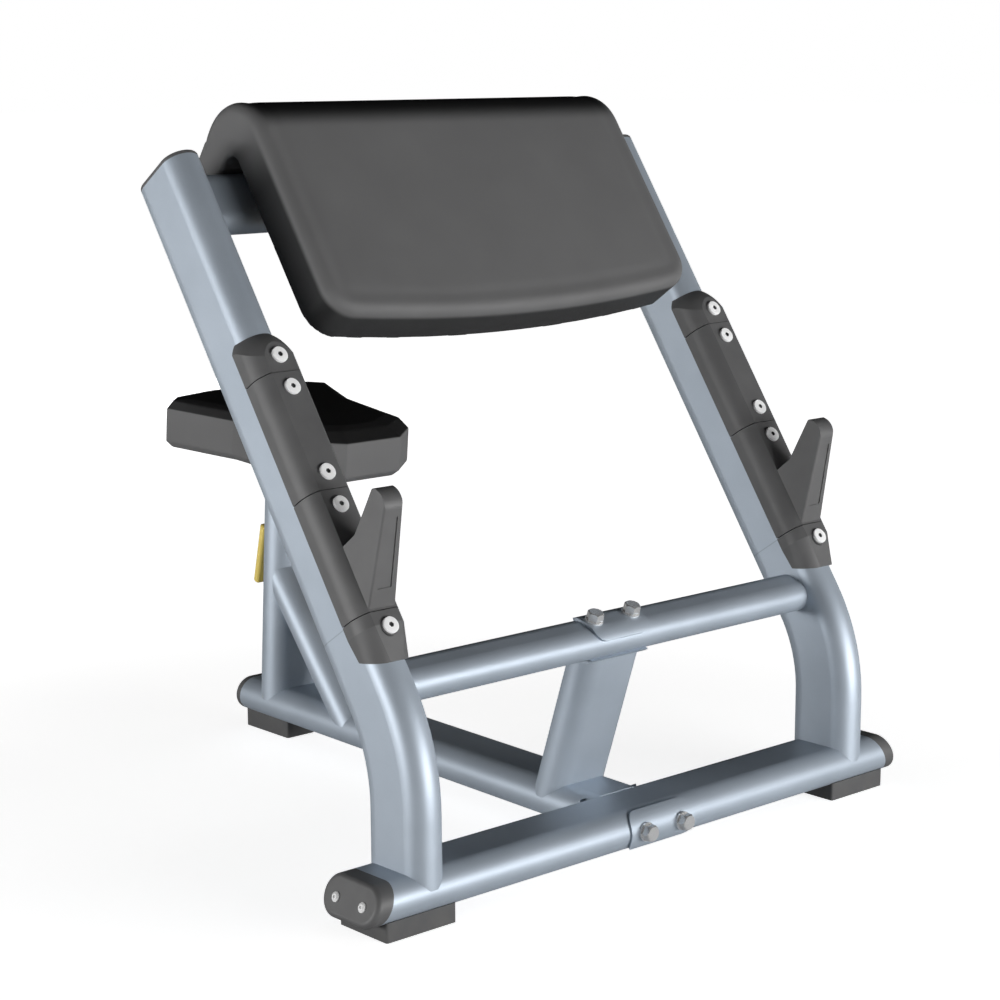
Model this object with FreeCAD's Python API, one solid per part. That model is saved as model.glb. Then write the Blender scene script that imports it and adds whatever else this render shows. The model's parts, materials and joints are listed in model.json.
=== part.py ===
import FreeCAD, Part
import math
import os
from FreeCAD import Matrix, Placement, Rotation, Vector

# Preacher bench. The middle of the front base tube is y = 0, +Y runs back to the seat.
# Left is +X and right is -X, as the seated user has them.

# Flat-oval frame tube: straight flats with half-round edges
tube_width = 100.0
tube_depth = 50.0
tube_wall = 3.0
# A shaped tube end stops this far short of the middle of the tube that it meets
cope_stop = 6.0
# How far a cutting shape runs past what it cuts
overrun = 20.0
# A block large enough to trim any piece
reach = 1000.0
# Clearance between pieces that fit in one another
fit_gap = 0.3

# Front base tube and the slanted ends that all base tubes have
front_tube_length = 868.4
front_tube_z = 43.2
end_slant = 22.6
end_cap_thickness = 22.5
rear_slant = 8.5
rear_cap_thickness = 13.4
end_cap_round = 7.0
end_cap_plug = 24.0
end_cap_plug_wall = 3.0
end_cap_screw_offset = 24.0

# Uprights: a vertical foot, a bend and a straight incline
upright_from_end = 62.5
upright_x = front_tube_length / 2 - upright_from_end
incline = 55.7
bend_corner_z = 201.4
bend_radius = 222.0
incline_length = 773.5
top_cap_height = 5.5
top_cap_round = 3.0
top_cap_plug = 22.0

# Cross tubes between the uprights, placed along the incline from the bend's corner
mid_tube_width = 58.0
mid_tube_depth = 42.0
mid_tube_wall = 3.0
mid_tube_along = 84.0
mid_tube_set_back = 1.5
upper_tube_width = 80.0
upper_tube_depth = 40.0
upper_tube_wall = 3.0
upper_tube_drop = 45.5
upper_tube_along = incline_length - upper_tube_drop

# Base rail from the front tube back to the rear end cap
rail_pitch = 0.81
rail_end = 775.8

# Strut from the rail up to the mid cross tube
strut_foot = 115.4
strut_lean = 18.5

# Seat post and its brace
post_foot = 712.4
post_lean = 4.17
brace_foot = 554.3
brace_lean = 39.1
brace_stop = 14.0
brace_length = 400.0

# Saddle plates that wrap the tubes where the frame bolts together
front_saddle_thickness = 3.0
front_saddle_half_width = 56.0
front_saddle_edge_angle = 64.0
front_saddle_corner = 20.0
# The blocks that trim both saddles lie halfway between level and upright
saddle_trim_lean = 45.0
rail_plate_thickness = 5.0
rail_plate_half_width = 50.0
rail_plate_lap = 4.0
mid_saddle_thickness = 4.0
mid_saddle_half_width = 47.0
mid_saddle_edge_angle = 32.0
mid_saddle_corner = 16.0
strut_plate_thickness = 4.0
strut_plate_half_width = 49.0
strut_plate_edge = 14.0
seat_plate_corner = 12.0

# Frame bolts through the saddle plates
bolt_diameter = 12.0
bolt_clearance = 0.5
bolt_head_across = 19.0
bolt_head_height = 11.0
bolt_chamfer_angle = 20.0
bolt_end = 8.0
washer_diameter = 24.0
washer_thickness = 2.5
nut_height = 10.0
front_bolt_x = 32.0
mid_bolt_x = 32.0

# Button-head screws for the guards and the end caps
guard_screw_head = 20.5
guard_screw_head_height = 3.5
guard_screw_diameter = 8.0
guard_screw_length = 22.0
guard_screw_socket = 6.0
cap_screw_head = 12.0
cap_screw_head_height = 3.2
cap_screw_diameter = 5.0
cap_screw_length = 16.0
cap_screw_socket = 3.5
socket_share = 0.6

# Feet
foot_length = 103.7
foot_width = 86.0
foot_height = 24.0
foot_from_end = 48.85
foot_centre_x = front_tube_length / 2 - foot_from_end
foot_round = 3.0
rear_foot_width = 49.0
rear_foot_length = 102.0
rear_foot_from_end = 31.3
rear_foot_centre = rail_end - rear_foot_from_end
rear_foot_height = 30.0

# Guards on the front of each upright. Stations run along the incline from the bend's corner,
# and heights are taken from the upright's front edge
upright_nose = tube_width / 2
guard_split_low = 154.5
guard_split_mid = 310.0
guard_split_high = 465.0
guard_joint = 1.2
guard_half_width = 34.0
guard_rear_back = 27.0
guard_rear_edge = upright_nose - guard_rear_back
guard_side_back = 16.0
guard_side_top = upright_nose - guard_side_back
guard_face_half = 20.0
guard_face_stand = 12.5
guard_face = upright_nose + guard_face_stand
guard_bulge = 4.0
guard_dome_along = 470.0
guard_dome_back = 30.0
guard_dome_height = upright_nose - guard_dome_back
guard_dome_half_x = 43.5
guard_dome_half_along = 66.0
guard_dome_half_height = 50.0
guard_bottom_rear = 109.5
guard_bottom_lip = 95.0
guard_bottom_step = upright_nose
guard_lip_stand = 4.0
guard_lip_height = upright_nose + guard_lip_stand
guard_bottom_front = 137.5
guard_lip_radius = 29.0
guard_lip_face_half = 10.0
guard_screw_pad = 12.0
guard_screw_pad_rise = 0.5
guard_screws_top = (486.2,)
guard_screws_middle = (443.8, 331.4)
guard_screws_hook = (289.1,)
guard_screws_bottom = (134.1,)

# Bar hook: the arm that stands out of the guard, with a pocket for the bar above it
hook_base_low = 157.5
hook_tip_along = 253.0
hook_tip_rise = 97.5
hook_tip_round = 20.0
hook_back_along = 272.0
hook_back_rise = 81.5
hook_back_round = 4.0
hook_pocket_along = 240.0
hook_pocket_rise = 25.5
hook_pocket_round = 8.0
hook_floor_along = 237.5
hook_tip_half = 13.0
hook_edge_round = 3.0
hook_panel_depth = 1.2
hook_panel_low_half = 10.0
hook_panel_high_half = 7.5
hook_panel_start_share = 0.17
hook_panel_end_share = 0.80

# Arm pad, in heights off the upright's centre line. It hangs on the upper cross tube
pad_half_width = 305.0
pad_bottom_drop = 236.5
pad_bottom = upper_tube_along - pad_bottom_drop
pad_bottom_radius = 2270.0
pad_corner_round = 40.0
pad_back = 46.0
pad_front = 112.0
pad_roll_radius = 70.0
pad_roll_rise = 36.4
pad_roll_along = upper_tube_along + pad_roll_rise
pad_flank_turn = 21.0
pad_hood_end = 48.0
pad_notch_low = 29.0
pad_notch_rise = 45.0
pad_notch_height = 38.0
pad_notch_back = 18.0
pad_edge_round = 14.0

# Board and steel straps that carry the arm pad
board_thickness = 18.0
board_inset = 35.0
board_top_drop = 30.0
board_round = 25.0
strap_thickness = 8.0
strap_width = 50.0
strap_x = 150.0
strap_bottom_rise = 53.5
strap_bottom = pad_bottom + strap_bottom_rise
pad_bolt_diameter = 8.0
pad_bolt_head = 14.0
pad_bolt_head_height = 5.0
pad_bolt_length = 22.0
pad_bolt_drops = (163.0, 103.0, 60.0)

# Seat cushion, in its own frame: the lower edge of its top chamfer is height 0
seat_front_y = 509.0
seat_front_z = 462.0
seat_tilt = 5.5
seat_depth = 56.0
seat_chamfer = 13.0
seat_crown = 4.0
seat_foot_chamfer = 8.0
seat_nose_half = 47.0
seat_shoulder_half = 95.0
seat_shoulder_y = 40.0
seat_waist_half = 99.0
seat_waist_y = 95.0
seat_hip_half = 106.0
seat_hip_y = 186.0
seat_flare_half = 143.5
seat_flare_y = 296.0
seat_tail_half = 125.0
seat_tail_y = 313.0
seat_rear_half = 60.0
seat_rear_y = 327.0
seat_top_inset_front = 21.0
seat_top_inset_side = 7.0
seat_crown_inset = 16.0
seat_board_thickness = 12.0
seat_board_inset = 14.0
seat_plate_thickness = 5.0
seat_plate_width = 140.0
seat_plate_length = 120.0
seat_bolt_x = 52.0
seat_bolt_y = 42.0

# Telescoping seat stem and its glides
glide_wall = 1.7
glide_share = 2 * (tube_wall + glide_wall + fit_gap)
stem_width = tube_width - glide_share
stem_depth = tube_depth - glide_share
stem_wall = 3.0
stem_length = 250.0
stem_collar_height = 6.0
stem_collar_drop = 3.0
glide_depth = 30.0
glide_flange = 3.0
glide_foot_height = 20.0
stop_gap = 0.3
seat_hole_pitch = 25.0
seat_hole_count = 5
lock_hole_clearance = 0.5

# Lock pin, its housing and the release lever, behind the seat post
lever_pivot_height = 312.0
lever_pivot_back = 24.0
lock_pin_drop = 25.0
lock_pin_diameter = 12.0
lock_pin_collar = 17.0
lock_pin_collar_thickness = 2.5
lock_pin_seat = 2.5
lock_pin_tail = 7.0
lock_pin_nose_step = 1.2
lock_housing_diameter = 22.0
lock_housing_wall = 2.2
lock_housing_length = 20.0
lock_spring_wire = 1.2
cross_pin_diameter = 5.0
cross_pin_length = 18.0
lever_arm_width = 20.0
lever_arm_thickness = 6.0
lever_arm_drop = 92.0
lever_hub_diameter = 16.0
lever_bore_clearance = 0.08
lever_slot_width = 9.0
lever_slot_length = 16.0
paddle_width = 50.0
paddle_thickness = 12.0
paddle_length = 86.0
paddle_slant = 9.0
paddle_round = 5.0
bracket_ear_thickness = 4.0
bracket_ear_gap = 0.5
bracket_height = 26.0
bracket_plate = 4.0
pivot_pin_diameter = 8.0
pivot_pin_head = 13.0
pivot_pin_head_height = 3.0


def moved(shape, y, z, lean=0.0):
    """The shape turned about X by lean degrees and carried to y, z."""
    copy = shape.copy()
    copy.Placement = Placement(Vector(0, y, z), Rotation(Vector(1, 0, 0), lean)).multiply(copy.Placement)
    return copy


def shifted(shape, x, y, z):
    copy = shape.copy()
    copy.translate(Vector(x, y, z))
    return copy


def turned(shape, axis, angle):
    copy = shape.copy()
    copy.rotate(Vector(0, 0, 0), axis, angle)
    return copy


def on_incline(shape):
    """From x, along, height off the incline to the bench's own frame."""
    return moved(shape, 0, bend_corner_z, incline)


def on_rail(shape):
    return moved(shape, 0, front_tube_z, rail_pitch)


def rail_top_z(y):
    """Height of the rail's top face at y."""
    pitch = math.radians(rail_pitch)
    return front_tube_z + y * math.tan(pitch) + tube_depth / 2 / math.cos(pitch)


def on_strut(shape):
    return moved(shape, strut_foot, rail_top_z(strut_foot), strut_lean)


def on_post(shape):
    return moved(shape, post_foot, rail_top_z(post_foot), post_lean)


def on_seat(shape):
    return moved(shape, seat_front_y, seat_front_z, seat_tilt)


def box(low, high):
    """A box between two corners."""
    size = high - low
    return Part.makeBox(size.x, size.y, size.z, low)


def cylinder(radius, start, end):
    return Part.makeCylinder(radius, (end - start).Length, start, end - start)


def half_space(point, normal):
    """Everything within reach on the side of a plane that its normal points to."""
    block = box(Vector(-reach, -reach, 0), Vector(reach, reach, reach))
    block.Placement = Placement(point, Rotation(Vector(0, 0, 1), normal))
    return block


def polygon(points):
    return Part.Face(Part.makePolygon(list(points) + [points[0]]))


def fused(shapes):
    return shapes[0].fuse(shapes[1:]).removeSplitter()


def tidy(shape):
    """The one solid of a shape that was cut or fused."""
    shape = shape.removeSplitter()
    return shape.Solids[0] if len(shape.Solids) == 1 else shape


def oval_wire(width, depth):
    """Flat-oval outline, width along X and depth along Y."""
    radius = depth / 2
    flat = width / 2 - radius
    right = Part.Arc(Vector(flat, -radius, 0), Vector(flat + radius, 0, 0), Vector(flat, radius, 0))
    left = Part.Arc(Vector(-flat, radius, 0), Vector(-flat - radius, 0, 0), Vector(-flat, -radius, 0))
    top = Part.LineSegment(Vector(flat, radius, 0), Vector(-flat, radius, 0))
    bottom = Part.LineSegment(Vector(-flat, -radius, 0), Vector(flat, -radius, 0))
    return Part.Wire([edge.toShape() for edge in (right, top, left, bottom)])


def oval_bar(width, depth, start, end):
    """A solid flat-oval bar along Z."""
    bar = Part.Face(oval_wire(width, depth)).extrude(Vector(0, 0, end - start))
    return shifted(bar, 0, 0, start)


def oval_tube(width, depth, wall, start, end):
    outer = oval_bar(width, depth, start, end)
    inner = oval_bar(width - 2 * wall, depth - 2 * wall, start - overrun, end + overrun)
    return outer.cut(inner)


def across(shape):
    """A bar along Z laid along X, with its width along Y and its depth along Z."""
    return turned(shape, Vector(1, 1, 1), 120)


def backwards(shape):
    """A bar along Z laid along Y, with its width along X and its depth along Z."""
    return turned(shape, Vector(1, 0, 0), -90)


def hexagon(across_flats, start, end):
    """A hexagonal prism along Z."""
    corner = across_flats / 2 / math.cos(math.radians(30))
    points = [Vector(corner, 0, start)]
    for step in range(1, 6):
        points.append(turned(Part.Vertex(points[0]), Vector(0, 0, 1), 60 * step).Point)
    return polygon(points).extrude(Vector(0, 0, end - start))


def button_screw(head, head_height, diameter, length, socket):
    """A low-headed screw along Z: its head stands on z = 0 and its shank runs down."""
    rim = head_height * (1 - socket_share)
    edge = cylinder(head / 2, Vector(0, 0, 0), Vector(0, 0, rim))
    slope = Part.makeCone(head / 2, head / 2 * socket_share, head_height - rim, Vector(0, 0, rim))
    shank = cylinder(diameter / 2, Vector(0, 0, -length), Vector(0, 0, rim))
    recess = hexagon(socket, rim, head_height + overrun)
    return tidy(edge.fuse([slope, shank]).cut(recess))


def hex_bolt(length):
    """A hexagon bolt along Z: its head stands on z = 0 and its shank runs down."""
    head = hexagon(bolt_head_across, 0, bolt_head_height)
    dome = Part.makeCone(bolt_head_across / 2 + bolt_head_height, bolt_head_across / 2 - bolt_wall_taper(),
                         bolt_head_height)
    shank = cylinder(bolt_diameter / 2, Vector(0, 0, -length), Vector(0, 0, bolt_head_height / 2))
    return tidy(head.common(dome).fuse(shank))


def bolt_wall_taper():
    return bolt_head_across / 2 * (1 - math.cos(math.radians(bolt_chamfer_angle)))


def washer():
    """A washer along Z whose lower face is z = 0."""
    disc = cylinder(washer_diameter / 2, Vector(0, 0, 0), Vector(0, 0, washer_thickness))
    return disc.cut(cylinder(bolt_diameter / 2 + bolt_clearance / 2, Vector(0, 0, -overrun),
                             Vector(0, 0, overrun)))


def nut():
    """A hexagon nut along Z whose upper face is z = 0."""
    body = hexagon(bolt_head_across, -nut_height, 0)
    return body.cut(cylinder(bolt_diameter / 2, Vector(0, 0, -nut_height - overrun), Vector(0, 0, overrun)))


# Slanted tube ends, drawn for an end at the origin that points along +X


def slant_normal(slant):
    return Vector(math.cos(math.radians(slant)), 0, math.sin(math.radians(slant)))


def end_cutter(slant):
    return half_space(Vector(0, 0, 0), slant_normal(slant))


def end_cap(slant, thickness):
    """The cap that closes a slanted tube end, with the plug that holds it in the tube."""
    outside = Vector(thickness, 0, 0)
    normal = slant_normal(slant)
    body = across(oval_bar(tube_width, tube_depth, -tube_width, tube_width))
    body = body.common(end_cutter(slant)).cut(half_space(outside, normal))
    rim = [edge for edge in body.Edges if abs((edge.CenterOfMass - outside).dot(normal)) < end_cap_round]
    body = body.makeFillet(end_cap_round, rim)
    bore = 2 * (tube_wall + fit_gap)
    plug = across(oval_bar(tube_width - bore, tube_depth - bore, -end_cap_plug, tube_width))
    core = bore + 2 * end_cap_plug_wall
    plug = plug.cut(across(oval_bar(tube_width - core, tube_depth - core, -end_cap_plug - overrun,
                                    tube_width)))
    plug = plug.cut(end_cutter(slant))
    holes = []
    for place in end_cap_screw_places(slant, thickness):
        hole = cylinder(cap_screw_diameter / 2, Vector(0, 0, -cap_screw_length), Vector(0, 0, overrun))
        hole.Placement = place
        holes.append(hole)
    return tidy(body.fuse(plug).cut(holes))


def end_cap_screw_places(slant, thickness):
    outside = Vector(thickness, 0, 0)
    turn = Rotation(Vector(0, 0, 1), slant_normal(slant))
    return [Placement(outside + Vector(0, y, 0), turn)
            for y in (end_cap_screw_offset, -end_cap_screw_offset)]


def end_cap_screw_pair(slant, thickness):
    pair = []
    for place in end_cap_screw_places(slant, thickness):
        screw = button_screw(cap_screw_head, cap_screw_head_height, cap_screw_diameter, cap_screw_length,
                             cap_screw_socket)
        screw.Placement = place.multiply(screw.Placement)
        pair.append(screw)
    return pair


def at_left_end(shape):
    return shifted(shape, front_tube_length / 2, 0, front_tube_z)


def at_right_end(shape):
    return shifted(turned(shape, Vector(0, 0, 1), 180), -front_tube_length / 2, 0, front_tube_z)


def at_rear_end(shape):
    return on_rail(shifted(turned(shape, Vector(0, 0, 1), 90), 0, rail_end, 0))


def end_cap_screws():
    """Two screws in each of the three base caps."""
    front = end_cap_screw_pair(end_slant, end_cap_thickness)
    rear = end_cap_screw_pair(rear_slant, rear_cap_thickness)
    return ([at_left_end(screw) for screw in front] + [at_right_end(screw) for screw in front]
            + [at_rear_end(screw) for screw in rear])


# Frame tubes


def front_tube_bar():
    return moved(across(oval_bar(tube_width, tube_depth, -front_tube_length, front_tube_length)), 0,
                 front_tube_z)


def front_base_tube():
    half = front_tube_length / 2 + tube_depth
    tube = moved(across(oval_tube(tube_width, tube_depth, tube_wall, -half, half)), 0, front_tube_z)
    tube = tube.cut([at_left_end(end_cutter(end_slant)), at_right_end(end_cutter(end_slant))])
    return tidy(tube.cut([front_bolt_hole(x) for x in (front_bolt_x, -front_bolt_x)]))


def front_bolt_hole(x):
    radius = bolt_diameter / 2 + bolt_clearance / 2
    return cylinder(radius, Vector(x, -tube_width, front_tube_z), Vector(x, tube_width, front_tube_z))


def bend_tangent():
    """Length from the bend's corner to where its arc starts or ends."""
    return bend_radius * math.tan(math.radians(90 - incline) / 2)


def bent_bar(width, depth, end, start=0.0):
    """A flat-oval bar that rises from the front tube, bends and runs up the incline."""
    turn = 90 - incline
    foot = front_tube_z + cope_stop - start
    arc_start = bend_corner_z - bend_tangent()
    section = shifted(Part.Face(upright_outline(width, depth)), 0, 0, arc_start)
    bend = section.revolve(Vector(0, bend_radius, arc_start), Vector(-1, 0, 0), turn)
    upper = on_incline(backwards(oval_bar_upright(width, depth, bend_tangent(), end)))
    lower = shifted(Part.Face(upright_outline(width, depth)).extrude(Vector(0, 0, arc_start - foot)), 0,
                    0, foot)
    return fused([lower, bend, upper])


def upright_outline(width, depth):
    """The tube's outline with its width along Y."""
    return turned(oval_wire(width, depth), Vector(0, 0, 1), 90)


def oval_bar_upright(width, depth, start, end):
    bar = Part.Face(upright_outline(width, depth)).extrude(Vector(0, 0, end - start))
    return shifted(bar, 0, 0, start)


def upright(side):
    outer = bent_bar(tube_width, tube_depth, incline_length)
    inner = bent_bar(tube_width - 2 * tube_wall, tube_depth - 2 * tube_wall, incline_length + overrun,
                     overrun)
    tube = shifted(outer.cut(inner), side * upright_x, 0, 0)
    holes = [guard_place(cylinder(guard_screw_diameter / 2, Vector(0, along, 0),
                                  Vector(0, along, tube_width)), side)
             for along in all_guard_screws()]
    return tidy(tube.cut([front_tube_bar()] + holes))


def upright_top_cap(side):
    cap = oval_bar_upright(tube_width, tube_depth, incline_length, incline_length + top_cap_height)
    top = incline_length + top_cap_height
    rim = [edge for edge in cap.Edges if abs(edge.CenterOfMass.z - top) < top_cap_height / 2]
    cap = cap.makeFillet(top_cap_round, rim)
    bore = 2 * (tube_wall + fit_gap)
    core = bore + 2 * end_cap_plug_wall
    plug = oval_bar_upright(tube_width - bore, tube_depth - bore, incline_length - top_cap_plug,
                            incline_length)
    plug = plug.cut(oval_bar_upright(tube_width - core, tube_depth - core,
                                     incline_length - top_cap_plug - overrun, incline_length))
    return shifted(on_incline(backwards(tidy(cap.fuse(plug)))), side * upright_x, 0, 0)


def cross_tube_length():
    return 2 * upright_x - tube_depth


def mid_tube_place(shape):
    """From the mid cross tube's own middle, with its width along Y, to the bench's frame."""
    flat = moved(shape, 0, 0, strut_lean - incline)
    return on_incline(moved(flat, mid_tube_along, -mid_tube_set_back))


def mid_cross_tube():
    half = cross_tube_length() / 2
    tube = mid_tube_place(across(oval_tube(mid_tube_width, mid_tube_depth, mid_tube_wall, -half, half)))
    return tidy(tube.cut([mid_bolt_hole(x) for x in (mid_bolt_x, -mid_bolt_x)]))


def mid_bolt_hole(x):
    radius = bolt_diameter / 2 + bolt_clearance / 2
    return mid_tube_place(cylinder(radius, Vector(x, 0, -tube_width), Vector(x, 0, tube_width)))


def upper_cross_tube():
    half = cross_tube_length() / 2
    tube = across(oval_tube(upper_tube_width, upper_tube_depth, upper_tube_wall, -half, half))
    return tidy(on_incline(moved(tube, upper_tube_along, 0)))


def rail_bar():
    """The rail's outer shape as a solid, for cutting what stands on it."""
    return on_rail(backwards(oval_bar(tube_width, tube_depth, 0, reach)))


def base_rail():
    """The rail, shaped at its front to the round back of the front tube and the plate on it."""
    start = tube_width / 2 - tube_depth / 2 + cope_stop
    tube = backwards(oval_tube(tube_width, tube_depth, tube_wall, start, rail_end + tube_depth))
    tube = on_rail(tube).cut(at_rear_end(end_cutter(rear_slant)))
    return tidy(tube.cut([front_tube_bar(), rail_plate_blank()]))


def saddle(width, depth, thickness, half_width):
    """A sleeve of plate round a flat-oval tube that lies along X, centred on the tube."""
    outer = across(oval_bar(width + 2 * thickness, depth + 2 * thickness, -half_width, half_width))
    return outer.cut(across(oval_bar(width, depth, -half_width - overrun, half_width + overrun)))


def rounded_end_block(half_x, edge, corner, lean):
    """A large block that ends at edge with two rounded corners, turned about X by lean."""
    block = box(Vector(-half_x, -reach, -reach), Vector(half_x, edge, reach))
    corners = [side for side in block.Edges if abs(side.CenterOfMass.z) < corner
               and abs(side.CenterOfMass.y - edge) < corner]
    return moved(block.makeFillet(corner, corners), 0, 0, lean)


def saddle_trim_edge(offset):
    """Distance of a trimming block's edge from the tube's middle, for an offset measured level."""
    return offset * math.sin(math.radians(saddle_trim_lean))


def front_saddle_plate():
    """A plate round the front of the base tube, trimmed above and below with rounded corners."""
    plate = saddle(tube_width, tube_depth, front_saddle_thickness, front_saddle_half_width)
    radius = tube_depth / 2 + front_saddle_thickness
    centre = tube_width / 2 - tube_depth / 2
    angle = math.radians(front_saddle_edge_angle)
    edge = saddle_trim_edge(radius * math.sin(angle) - radius * math.cos(angle) - centre)
    plate = plate.common(rounded_end_block(front_saddle_half_width, edge, front_saddle_corner,
                                           saddle_trim_lean))
    plate = plate.common(rounded_end_block(front_saddle_half_width, edge, front_saddle_corner,
                                           -saddle_trim_lean))
    plate = moved(plate, 0, front_tube_z)
    return tidy(plate.cut([front_bolt_hole(x) for x in (front_bolt_x, -front_bolt_x)]))


def rail_plate_blank():
    """A plate on the round back of the front tube, before it is drilled."""
    plate = saddle(tube_width, tube_depth, rail_plate_thickness, rail_plate_half_width)
    plate = plate.cut(half_space(Vector(0, tube_width / 2 - rail_plate_lap, 0), Vector(0, -1, 0)))
    return moved(plate, 0, front_tube_z)


def rail_front_plate():
    return tidy(rail_plate_blank().cut([front_bolt_hole(x) for x in (front_bolt_x, -front_bolt_x)]))


def mid_saddle_plate():
    """A plate over the top of the mid cross tube, trimmed in front and behind with rounded corners."""
    plate = saddle(mid_tube_width, mid_tube_depth, mid_saddle_thickness, mid_saddle_half_width)
    radius = mid_tube_depth / 2 + mid_saddle_thickness
    centre = mid_tube_width / 2 - mid_tube_depth / 2
    angle = math.radians(mid_saddle_edge_angle)
    edge = saddle_trim_edge(centre + radius * math.cos(angle) - radius * math.sin(angle))
    plate = plate.common(rounded_end_block(mid_saddle_half_width, edge, mid_saddle_corner,
                                           180 + saddle_trim_lean))
    plate = plate.common(rounded_end_block(mid_saddle_half_width, edge, mid_saddle_corner,
                                           -saddle_trim_lean))
    plate = mid_tube_place(plate)
    return tidy(plate.cut([mid_bolt_hole(x) for x in (mid_bolt_x, -mid_bolt_x)]))


def strut_top_plate():
    plate = saddle(mid_tube_width, mid_tube_depth, strut_plate_thickness, strut_plate_half_width)
    plate = plate.cut(half_space(Vector(0, 0, -strut_plate_edge), Vector(0, 0, 1)))
    plate = mid_tube_place(plate)
    return tidy(plate.cut([mid_bolt_hole(x) for x in (mid_bolt_x, -mid_bolt_x)]))


def strut_top_bar():
    """The mid cross tube's outline grown by the plate under it, as a solid."""
    grown = 2 * strut_plate_thickness
    return mid_tube_place(across(oval_bar(mid_tube_width + grown, mid_tube_depth + grown,
                                          -tube_width, tube_width)))


def strut_height():
    """From the strut's foot to the middle of the mid cross tube, along the strut."""
    middle = mid_tube_place(Part.Vertex(0, 0, 0)).Point
    lean = math.radians(strut_lean)
    rise = middle.z - rail_top_z(strut_foot)
    return (strut_foot - middle.y) * math.sin(lean) + rise * math.cos(lean)


def centre_strut():
    """The strut between the rail and the plate under the mid cross tube, shaped to both."""
    tube = on_strut(oval_tube(tube_width, tube_depth, tube_wall, -tube_width, strut_height() - cope_stop))
    return tidy(tube.cut([rail_bar(), strut_top_bar(), below_rail_middle()]))


def below_rail_middle():
    return on_rail(half_space(Vector(0, 0, cope_stop), Vector(0, 0, -1)))


def post_length():
    """The seat post's top, under the glide's flange, above the stem's collar stop."""
    return collar_bottom() - stop_gap - glide_flange


def seat_post():
    tube = oval_tube(tube_width, tube_depth, tube_wall, -tube_depth, post_length())
    hole = cylinder(lock_pin_diameter / 2 + lock_hole_clearance, Vector(0, 0, lock_pin_height()),
                    Vector(0, tube_depth, lock_pin_height()))
    return tidy(on_post(tube.cut(hole)).cut([rail_bar(), below_rail_middle()]))


def seat_post_brace():
    tube = oval_tube(tube_width, tube_depth, tube_wall, -tube_width, brace_length)
    tube = moved(tube, brace_foot, rail_top_z(brace_foot), -brace_lean)
    behind = on_post(half_space(Vector(0, -brace_stop, 0), Vector(0, 1, 0)))
    post = on_post(oval_bar(tube_width, tube_depth, -reach, reach))
    return tidy(tube.cut([rail_bar(), below_rail_middle(), post, behind]))


# Frame fasteners


def front_bolt_place(shape, x, y):
    """From a bolt along Z to one that points forwards out of the front tube."""
    return shifted(turned(shape, Vector(1, 0, 0), 90), x, y, front_tube_z)


def front_washer_y():
    return -tube_width / 2 - front_saddle_thickness


def front_bolt_length():
    plates = front_saddle_thickness + rail_plate_thickness
    return tube_width + plates + washer_thickness + nut_height + bolt_end


def mid_washer_height():
    return mid_tube_depth / 2 + mid_saddle_thickness


def mid_bolt_length():
    return (mid_tube_depth + mid_saddle_thickness + strut_plate_thickness + washer_thickness
            + nut_height + bolt_end)


def frame_bolts():
    head = front_washer_y() - washer_thickness
    for x in (front_bolt_x, -front_bolt_x):
        yield front_bolt_place(hex_bolt(front_bolt_length()), x, head)
    for x in (mid_bolt_x, -mid_bolt_x):
        yield mid_tube_place(shifted(hex_bolt(mid_bolt_length()), x, 0,
                                     mid_washer_height() + washer_thickness))


def frame_washers():
    for x in (front_bolt_x, -front_bolt_x):
        yield front_bolt_place(washer(), x, front_washer_y())
    for x in (mid_bolt_x, -mid_bolt_x):
        yield mid_tube_place(shifted(washer(), x, 0, mid_washer_height()))


def frame_nuts():
    for x in (front_bolt_x, -front_bolt_x):
        yield front_bolt_place(nut(), x, tube_width / 2 + rail_plate_thickness)
    for x in (mid_bolt_x, -mid_bolt_x):
        yield mid_tube_place(shifted(nut(), x, 0, -mid_tube_depth / 2 - strut_plate_thickness))


# Feet


def foot_block(half_x, half_y, height):
    """A block on z = 0 with softened upright edges."""
    block = box(Vector(-half_x, -half_y, 0), Vector(half_x, half_y, height))
    upright_edges = [edge for edge in block.Edges if abs(edge.CenterOfMass.z - height / 2) < height / 4]
    return block.makeFillet(foot_round, upright_edges)


def front_foot(side):
    block = foot_block(foot_length / 2, foot_width / 2, foot_height)
    return tidy(shifted(block, side * foot_centre_x, 0, 0).cut(front_tube_bar()))


def rear_foot():
    block = foot_block(rear_foot_width / 2, rear_foot_length / 2, rear_foot_height)
    return tidy(shifted(block, 0, rear_foot_centre, 0).cut(rail_bar()))


# Guards and bar hooks, drawn as x from the upright's middle, along the incline, height off it


def guard_place(shape, side):
    return shifted(on_incline(shape), side * upright_x, 0, 0)


def all_guard_screws():
    return guard_screws_top + guard_screws_middle + guard_screws_hook + guard_screws_bottom


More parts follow.
